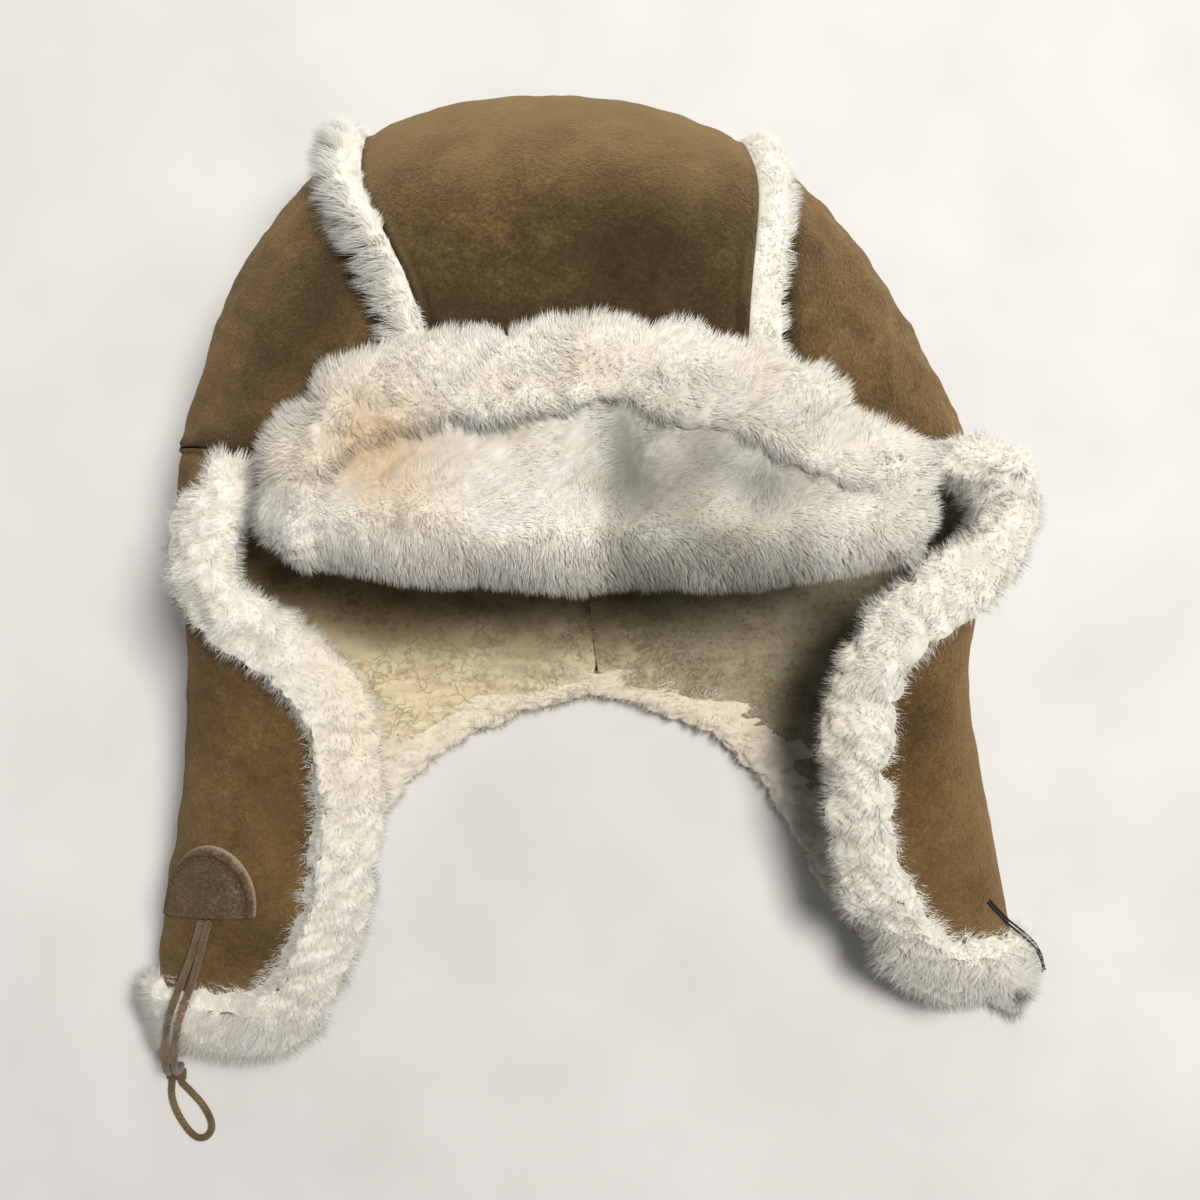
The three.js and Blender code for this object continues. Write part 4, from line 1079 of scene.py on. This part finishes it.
# Rear across and down, bend across, down and up, front across, down and up, each as a share of the
# crown's half width, the flap's length and the flap's height, and the front's lean in degrees
flap_rows = {
    -1: [
        (-0.031, 0.267, 1.015, 0.082, 0.6, 0.84, 0.095, 1.02, 78),
        (-0.053, 0.39, 1.008, 0.179, 0.58, 0.865, 0.165, 0.98, 66),
        (0.275, 0.45, 1, 0.282, 0.54, 0.84, 0.246, 0.92, 48),
        (0.443, 0.51, 1.008, 0.385, 0.5, 0.71, 0.323, 0.86, 20),
        (0.58, 0.59, 1.023, 0.487, 0.46, 0.58, 0.421, 0.78, 5),
        (0.687, 0.708, 1.046, 0.615, 0.4, 0.55, 0.559, 0.7, 0),
        (0.779, 0.8, 1.092, 0.744, 0.34, 0.58, 0.703, 0.6, -5),
        (0.87, 0.887, 1.122, 0.846, 0.28, 0.634, 0.836, 0.49, -5),
        (0.947, 0.944, 1.145, 0.913, 0.22, 0.71, 0.918, 0.41, -8),
        (1.015, 0.974, 1.153, 0.959, 0.18, 0.794, 0.974, 0.34, -8),
    ],
    1: [
        (0.031, 0.267, 1, 0.062, 0.57, 0.985, 0.015, 1.04, 85),
        (0.053, 0.39, 1.038, 0.144, 0.54, 1.055, 0.062, 1.02, 85),
        (0.382, 0.45, 1.023, 0.231, 0.52, 1.062, 0.123, 0.97, 78),
        (0.504, 0.50, 1.015, 0.318, 0.5, 0.977, 0.185, 0.92, 58),
        (0.595, 0.565, 1.015, 0.385, 0.48, 0.85, 0.246, 0.86, 30),
        (0.672, 0.645, 1.031, 0.451, 0.45, 0.74, 0.328, 0.78, 10),
        (0.733, 0.728, 1.061, 0.538, 0.41, 0.695, 0.441, 0.7, 0),
        (0.786, 0.779, 1.099, 0.641, 0.36, 0.695, 0.564, 0.62, -5),
        (0.863, 0.836, 1.137, 0.744, 0.3, 0.733, 0.697, 0.53, -5),
        (0.947, 0.882, 1.168, 0.821, 0.24, 0.817, 0.805, 0.44, -8),
        (1.023, 0.913, 1.191, 0.872, 0.19, 0.931, 0.872, 0.35, -8),
    ],
}
temples = {-1: 36, 1: 34}


def flap_shape(side):
    """The flap's surface as a function of its row, its share of the way round from the rear edge to
    the front edge, and its depth. A row is a quarter of a superellipse from the floor up to the bend
    and a part of a circle from the bend to the front edge; the first row follows the crown's rim."""

    def rim(w):
        forward = mix(0, temples[side], (w - bend_at) / (1 - bend_at))
        turn = np.radians(np.where(w < bend_at, mix(-90, 0, w / bend_at), forward))
        across = side * np.clip(np.cos(turn), 0, None) ** (2 / crown_power)
        point = crown_point(across, 0 * w, raised(np.sin(turn), 2 / crown_power), 0 * w)
        return point - np.array((0, seam_gap, 0))

    corner = rim(np.array(1.0))
    first = (0, (nape_drop + seam_gap) / flap_length, 1, seam_gap / flap_length, crown_middle / flap_height,
             abs(corner[0]) / crown_half_width, -corner[1] / flap_length, corner[2] / flap_height, 60)
    table = np.array([first, *flap_rows[side]])

    def placed(across, down, up=0.0):
        sizes = (side * crown_half_width, -flap_length, flap_height)
        return np.stack(np.broadcast_arrays(across, down, up), -1) * np.array(sizes)

    def free_at(row, w):
        shares = np.moveaxis(along_table(table, row), -1, 0)
        lean = shares[8]
        started = np.minimum(row / nape_hem, 1)
        seam = placed(table[nape_hem, 0] * started, mix(first[1], table[nape_hem, 1], started))
        rear = np.where((row < nape_hem)[..., None], seam, placed(*shares[:2]))
        rear = rear + np.array((side * gap, 0, 0))
        bend, edge = placed(*shares[2:5]), placed(*shares[5:8])
        inward = unit((edge - bend) * np.array((1, 1, 0)))
        lying, leaning = np.cos(np.radians(lean))[..., None], np.sin(np.radians(lean))[..., None]
        begun = smooth(0, 1, row)[..., None]
        set_back = begun * front_roll / 2
        outer_side = begun * (leather + flap_pile) / 2
        upward = np.array((0.0, 0.0, 1.0))
        edge = (edge - set_back * (inward * lying + upward * leaning)
                - outer_side * leaning * inward + outer_side * lying * upward)
        turn = np.radians(90 * np.clip(w / bend_at, 0, 1))[..., None]
        flat, climb = raised(np.sin(turn), 2 / flap_power), 1 - raised(np.cos(turn), 2 / flap_power)
        lower = np.concatenate([mix(rear[..., :2], bend[..., :2], flat), bend[..., 2:] * climb], -1)
        whole = np.radians(np.maximum(25, 90 - np.maximum(lean, 0)))[..., None]
        turn = whole * np.clip((w - bend_at) / (1 - bend_at), 0, 1)[..., None]
        over, climb = (1 - np.cos(turn)) / (1 - np.cos(whole)), np.sin(turn) / np.sin(whole)
        upper = np.concatenate([mix(bend[..., :2], edge[..., :2], over),
                                mix(bend[..., 2:], edge[..., 2:], climb)], -1)
        return np.where((w < bend_at)[..., None], lower, upper)

    def at(row, w):
        return free_at(row, w) + (rim(w) - free_at(0 * row, w)) * (1 - smooth(0, 2, row))[..., None]

    def surface(row, w, depth):
        row, w, depth = np.broadcast_arrays(row, w, depth)
        step, last = 0.02, len(table) - 1
        down = at(np.minimum(row + step, last), w) - at(np.maximum(row - step, 0), w)
        around = at(row, np.minimum(w + step, 1)) - at(row, np.maximum(w - step, 0))
        normal = -side * np.cross(down, around)
        normal[..., 1] *= smooth(-0.3, 1.2, row)
        return at(row, w) - unit(normal) * depth[..., None]

    return surface, len(table) - 1


flap_suede = suede_paint("flap_suede", (0.056, 0.030, 0.008, 1), (0.128, 0.072, 0.022, 1),
                         (0.23, 0.138, 0.048, 1), 9.0)
flap_down = 190  # mm along a flap from the crown to its end
flap_round = 200  # mm round it from the rear edge to the front edge
rolled_edge = 6  # mm from its skin's border that no seam is drawn


def lining_painted_shade(points):
    """Painted shade: the lining darkens to brown toward the inside of the head hollow."""
    return 0.98 * smooth(-80, -47, points[:, 1] + 6 * ripples(points, 40, 12))


def wool_depth(row, w):
    """The flap's wool is thinner toward its end and toward the front edge."""
    return mix(1, 0.7, smooth(0.6, 1, row)) * mix(1, 0.2, smooth(0.7, 1, w)) * flap_pile


def flap_edge(last):
    """Millimetres to the crown's seam or to the rolls at the flap's edges."""
    def away(row, w):
        from_crown = row / last * flap_down + 1
        from_end = (last - row) / last * flap_down + rolled_edge
        return np.minimum(np.minimum(from_crown, from_end), np.minimum(w, 1 - w) * flap_round + rolled_edge)
    return away


def crown_seam_line(row, w):
    """A soft fold in the flap beside its seam to the crown."""
    return -0.5 * bell(row / 0.28 - 1, 0.25)


def flap_painted_shade(at):
    """Painted shade: the lining is darker right of the nape's middle, where the right flap shades it."""
    return 0.95 * smooth(5, 45, at[:, 0])


# Worn places of the flaps: a dark handled patch near the left one's end, and rubbed suede beside
# the wool of its front edge
flap_dirt = {-1: lambda at: 0.45 * spot(at, -106, -166, 13, 9) + 0.4 * spot(at, -140, -70, 30, 14),
             1: lambda at: 0.35 * spot(at, 112, -92, 12, 18)}
flap_fade = {-1: lambda at: 0.4 * spot(at, -100, -125, 9, 24),
             1: lambda at: 0.3 * spot(at, 128, -150, 20, 30) + 0.25 * spot(at, 135, -100, 12, 30)}
flap_cells = 84
shapes = {side: flap_shape(side) for side in (-1, 1)}
for side, label in ((-1, "left"), (1, "right")):
    surface, last = shapes[side]
    rows = np.linspace(0, last, flap_cells)
    around = np.concatenate([np.linspace(0, bend_at, 24), np.linspace(bend_at, 1, 28)[1:]])
    suede(f"{label}_flap_suede", surface, rows, around, flap_suede, [f"{label}_flap_panel"], "flap_suede",
          flap_edge(last), groove=crown_seam_line, creases=0.25, seed=51 + side,
          dirt_and_shade=flap_dirt[side], fade_and_light=flap_fade[side])

    row, w = np.meshgrid(rows, np.linspace(0, 1, 52), indexing="ij")
    base = leather + wool_gap
    share = row / last
    wool_top = surface(row, w, base + wool_depth(share, w))
    wool_inner = surface(row, w, base)
    bare = smooth(0, 0.1, 1 - w) * smooth(0, 0.06, np.minimum(share, 1 - share))
    beside = smooth(0.1, 0.02, w) * smooth(3, 2, row)
    over_seam = np.array((-0.9 * side, 0, 0)) * beside[..., None]
    # Painted shade: the lining darkens toward the head hollow and right of the nape's middle.
    fleece(f"{label}_flap_wool", wool_top, wool_inner, lining_wool, [f"{label}_flap_pile"], "lining_wool",
           15000, 2.0 + 1.8 * beside, over_seam, tuft=5.5, lumps=1.9, sink=0.8, clump=0.3, spread=0.5,
           weight=0.25 + 0.75 * bare * smooth(5, 2, row) + 2 * beside, stain=lining_painted_shade,
           grey=flap_painted_shade, crevice_shade=0.2, seed=61 + side)


# Wool rolls: the thick edge of sheepskin that is turned out round each flap, from the temple down
# the front, across the end and back along the floor to the nape.
roll_rings = 330
roll_rows, roll_columns = 111, 41  # of the grid whose border the rolls follow
tip_way = {-1: (-0.3, -0.95, 0.0), 1: (0.65, -0.75, 0.0)}  # the way each flap's tip points
tip_bulge = {-1: 4.5, 1: 7}  # mm of wool more there


def hem_stain(points):
    """The hem at the nape is as yellow as the lining beside it."""
    return 0.5 * smooth(100, 60, np.abs(points[:, 0])) * smooth(-140, -95, points[:, 1])


for side, label in ((-1, "left"), (1, "right")):
    surface, last = shapes[side]
    row, w = np.meshgrid(np.linspace(0, last, roll_rows), np.linspace(0, 1, roll_columns), indexing="ij")
    outer = surface(row, w, 0 * row)
    inner = surface(row, w, leather + wool_gap + wool_depth(row / last, w))
    hem = int(round(nape_hem / last * (roll_rows - 1)))
    edges = [
        edge_of(np.arange(roll_rows), roll_columns - 1, 3),
        edge_of(np.arange(roll_columns - 2, -1, -1), roll_rows - 1, 5, along_row=True),
        edge_of(np.arange(roll_rows - 2, hem - 1, -1), 0, -4),
    ]
    at, out, up, skin_half, share = border_path(outer, inner, edges, roll_rings)
    start = smooth(0, 0.04, share)
    tip = smooth(0.36, 0.46, share)
    rear = smooth(0.56, 0.68, share)
    width = mix(0.5, 1, start) * mix(mix(front_roll, tip_roll, tip), rear_roll, rear)
    pointing = eased(smooth(0.5, 0.95, out @ unit(np.array(tip_way[side])))[:, None], 5)[:, 0]
    width = width + pointing * tip_bulge[side] * smooth(95, 118, np.abs(at[:, 0]))
    half = mix(0.55, 1, start) * mix(front_roll_half, rear_roll_half, rear)
    grid = roll_grid(at, out, up, skin_half, width, half, roll_turns, roll_overlap, hem_overlap)
    begun = smooth(0, 0.025, share)
    turned_out = np.where((roll_turns <= 160) | (roll_turns >= 200), 1.0, 0.0)
    seen = turned_out[None] * (mix(1, 0.6, rear) * mix(3, 1, begun))[:, None]
    roll_lay = out * 0.25 - unit(np.gradient(at, axis=0)) * (2.5 * (1 - begun))[:, None]
    long = 3.8 + 1.7 * tip * (1 - rear) + 1.5 * (1 - begun)
    fleece(f"{label}_roll_wool", grid, None, cream_wool, [f"{label}_trim"], "cream_wool", 44000,
           long[:, None], roll_lay[:, None], tuft=6.5, lumps=1.9, sink=1.9, clump=0.15, spread=0.65,
           width=0.27, swirl=0.5, lean=0.35, weight=seen, crevice_shade=0.25, stain=hem_stain, seed=71 + side)


# Patch: a half-round piece of suede sewn over the ends of the elastic, with its cut edge paler.
patch_width = 40
patch_height = 25
patch_thickness = 1.6
patch_row = 7.66
patch_column = 0.78
patch_stitched = 2.6  # mm from the patch's edge to its stitches
left_surface, _ = shapes[-1]


def on_left_flap(across, up, depth):
    """A point of the left flap, by millimetres across and up from the middle of the patch's edge."""
    def near(row, column):
        return left_surface(patch_row + np.array(row), patch_column + np.array(column), np.array(0.0))

    row_length = np.linalg.norm(near(-0.5, 0) - near(0.5, 0))
    column_length = np.linalg.norm(near(0, -0.05) - near(0, 0.05)) / 0.1
    return left_surface(patch_row - up / row_length, patch_column + across / column_length, depth)


patch_share, patch_turn = np.meshgrid(np.linspace(0, 1, 26), np.linspace(0, np.pi, 70), indexing="ij")
patch_across = patch_share * np.cos(patch_turn) * patch_width / 2
patch_up = patch_share * np.sin(patch_turn) * patch_height
patch_rim = (1 - patch_share) * 20
patch_swell = 0.15 * bell(patch_rim - 1.2, 0.9) - 0.35 * bell(patch_rim - patch_stitched, 0.6)
patch_thin = 0.5 + 0.5 * smooth(0, 1.4, patch_rim)
patch_lift = gap + patch_thickness * patch_thin + patch_swell
patch_points, patch_triangles, patch_kept = shell_solid(
    on_left_flap(patch_across, patch_up, -patch_lift),
    on_left_flap(patch_across, patch_up, 0 * patch_up - gap))
patch_suede = suede_paint("patch_suede", (0.050, 0.029, 0.010, 1), (0.092, 0.056, 0.019, 1),
                          (0.42, 0.33, 0.23, 1), 12.0)
piece("patch", patch_points, patch_triangles, patch_suede, ["loop_patch"], "patch_suede",
      seam=on_both(bell(patch_rim - patch_stitched, 0.7), patch_kept),
      worn=on_both(1.1 * bell(patch_rim, 0.4), patch_kept))


# Stitches: tan thread holds the patch down along its straight edge and round its bow.
stitch_pitch = 2.6
stitch_thick = 0.55


def stitches(path, lift, pitch, thick):
    """A row of stitches on a path: each is a spindle over three quarters of the pitch, whose radius
    follows a sine and whose middle is lifted off the surface."""
    count = int(np.linalg.norm(np.diff(path, axis=0), axis=1).sum() / pitch)
    fine = evenly(path, count * 8 + 1)
    up = evenly_like(lift, count * 8 + 1)
    swell = np.sin(np.linspace(0, np.pi, 7))
    spindles = []
    for k in range(count):
        line = fine[8 * k:8 * k + 7] + up[8 * k:8 * k + 7] * (swell * thick * 0.5 + 0.1)[:, None]
        rings = sweep(line, (thick / 2 * (0.35 + 0.65 * swell))[:, None], 6, up[8 * k])
        spindles.append(ring_solid(rings))
    return joined(*spindles)


def evenly_like(values, count):
    """The values again at `count` places that are evenly spaced from the first to the last."""
    places = np.linspace(0, len(values) - 1, count)
    return unit(np.stack([np.interp(places, np.arange(len(values)), values[:, k]) for k in range(3)], 1))


thread_paint = Paint("tan_thread")
thread_colour = thread_paint.blend(thread_paint.noise(2, 2), (0.09, 0.052, 0.02, 1),
                                   (0.20, 0.125, 0.055, 1))
tan_thread = thread_paint.finish(thread_colour, 0.7)


def patch_line(across, up):
    """Points on the patch's face and the directions out of it."""
    face = on_left_flap(across, up, 0 * up - gap - patch_thickness)
    return face, unit(face - on_left_flap(across, up, 0 * up))


bow_turn = np.linspace(0.06, 0.94, 80) * np.pi
bow = patch_line(0.85 * np.cos(bow_turn) * patch_width / 2, 0.86 * np.sin(bow_turn) * patch_height)
straight_across = np.linspace(-0.46, 0.46, 60) * patch_width
straight = patch_line(straight_across, 0 * straight_across + 2.2)
stitch_points, stitch_triangles = joined(stitches(*bow, stitch_pitch, stitch_thick),
                                         stitches(*straight, stitch_pitch, stitch_thick))
piece("patch_stitches", stitch_points, stitch_triangles, tan_thread, [], "patch_suede")


# Button thread: two ends of black thread, left where a button was sewn on, lie over the edge of
# the right flap. Each is placed on the suede and the wool that are below it.
thread_plan = [(142, -154.5), (145.5, -158), (151.4, -163.7), (157, -168.3), (162, -173),
               (166, -178.5), (167.5, -184)]
thread_points = 40
thread_thick = 0.8
black_paint = Paint("black_thread")
black_colour = black_paint.blend(black_paint.noise(1.5, 2), (0.006, 0.006, 0.007, 1),
                                 (0.022, 0.021, 0.022, 1))
black_thread = black_paint.finish(black_colour, 0.6)
bpy.context.view_layer.update()
carriers = [bpy.data.objects[name] for name in ("right_flap_suede", "right_roll_wool")]


def height_below(x, y):
    """The highest of the two carriers near a place in plan, in millimetres."""
    hits = [item.ray_cast(((x + right) * MM, (y + back) * MM, 0.2), (0, 0, -1))
            for item in carriers for right, back in ((0, 0), (0.7, 0), (-0.7, 0), (0, 0.7), (0, -0.7))]
    return max([hit[1][2] / MM for hit in hits if hit[0]] + [0])


threads = []
for strand, aside in enumerate((0.0, 1.1)):
    aside_plan = [(x + aside * 0.7, y + aside * 0.7) for x, y in thread_plan]
    plan = along_table(aside_plan, np.linspace(0, len(thread_plan) - 1, thread_points))
    waves = 0.5 * strand * np.sin(np.linspace(0, 9 + 2 * strand, thread_points))
    plan = plan + waves[:, None] * np.array((0.6, -0.8))
    heights = eased(np.array([[height_below(x, y)] for x, y in plan]), 3)[:, 0]
    heights = heights + thread_thick / 2 + 0.9 * smooth(0.25, 0.5, np.linspace(0, 1, thread_points))
    line = np.column_stack([plan, heights])
    threads.append(ring_solid(sweep(line, thread_thick / 2, 7, (0.5, 0.5, 0.7))))
piece("button_thread", *joined(*threads), black_thread, [], "elastic")
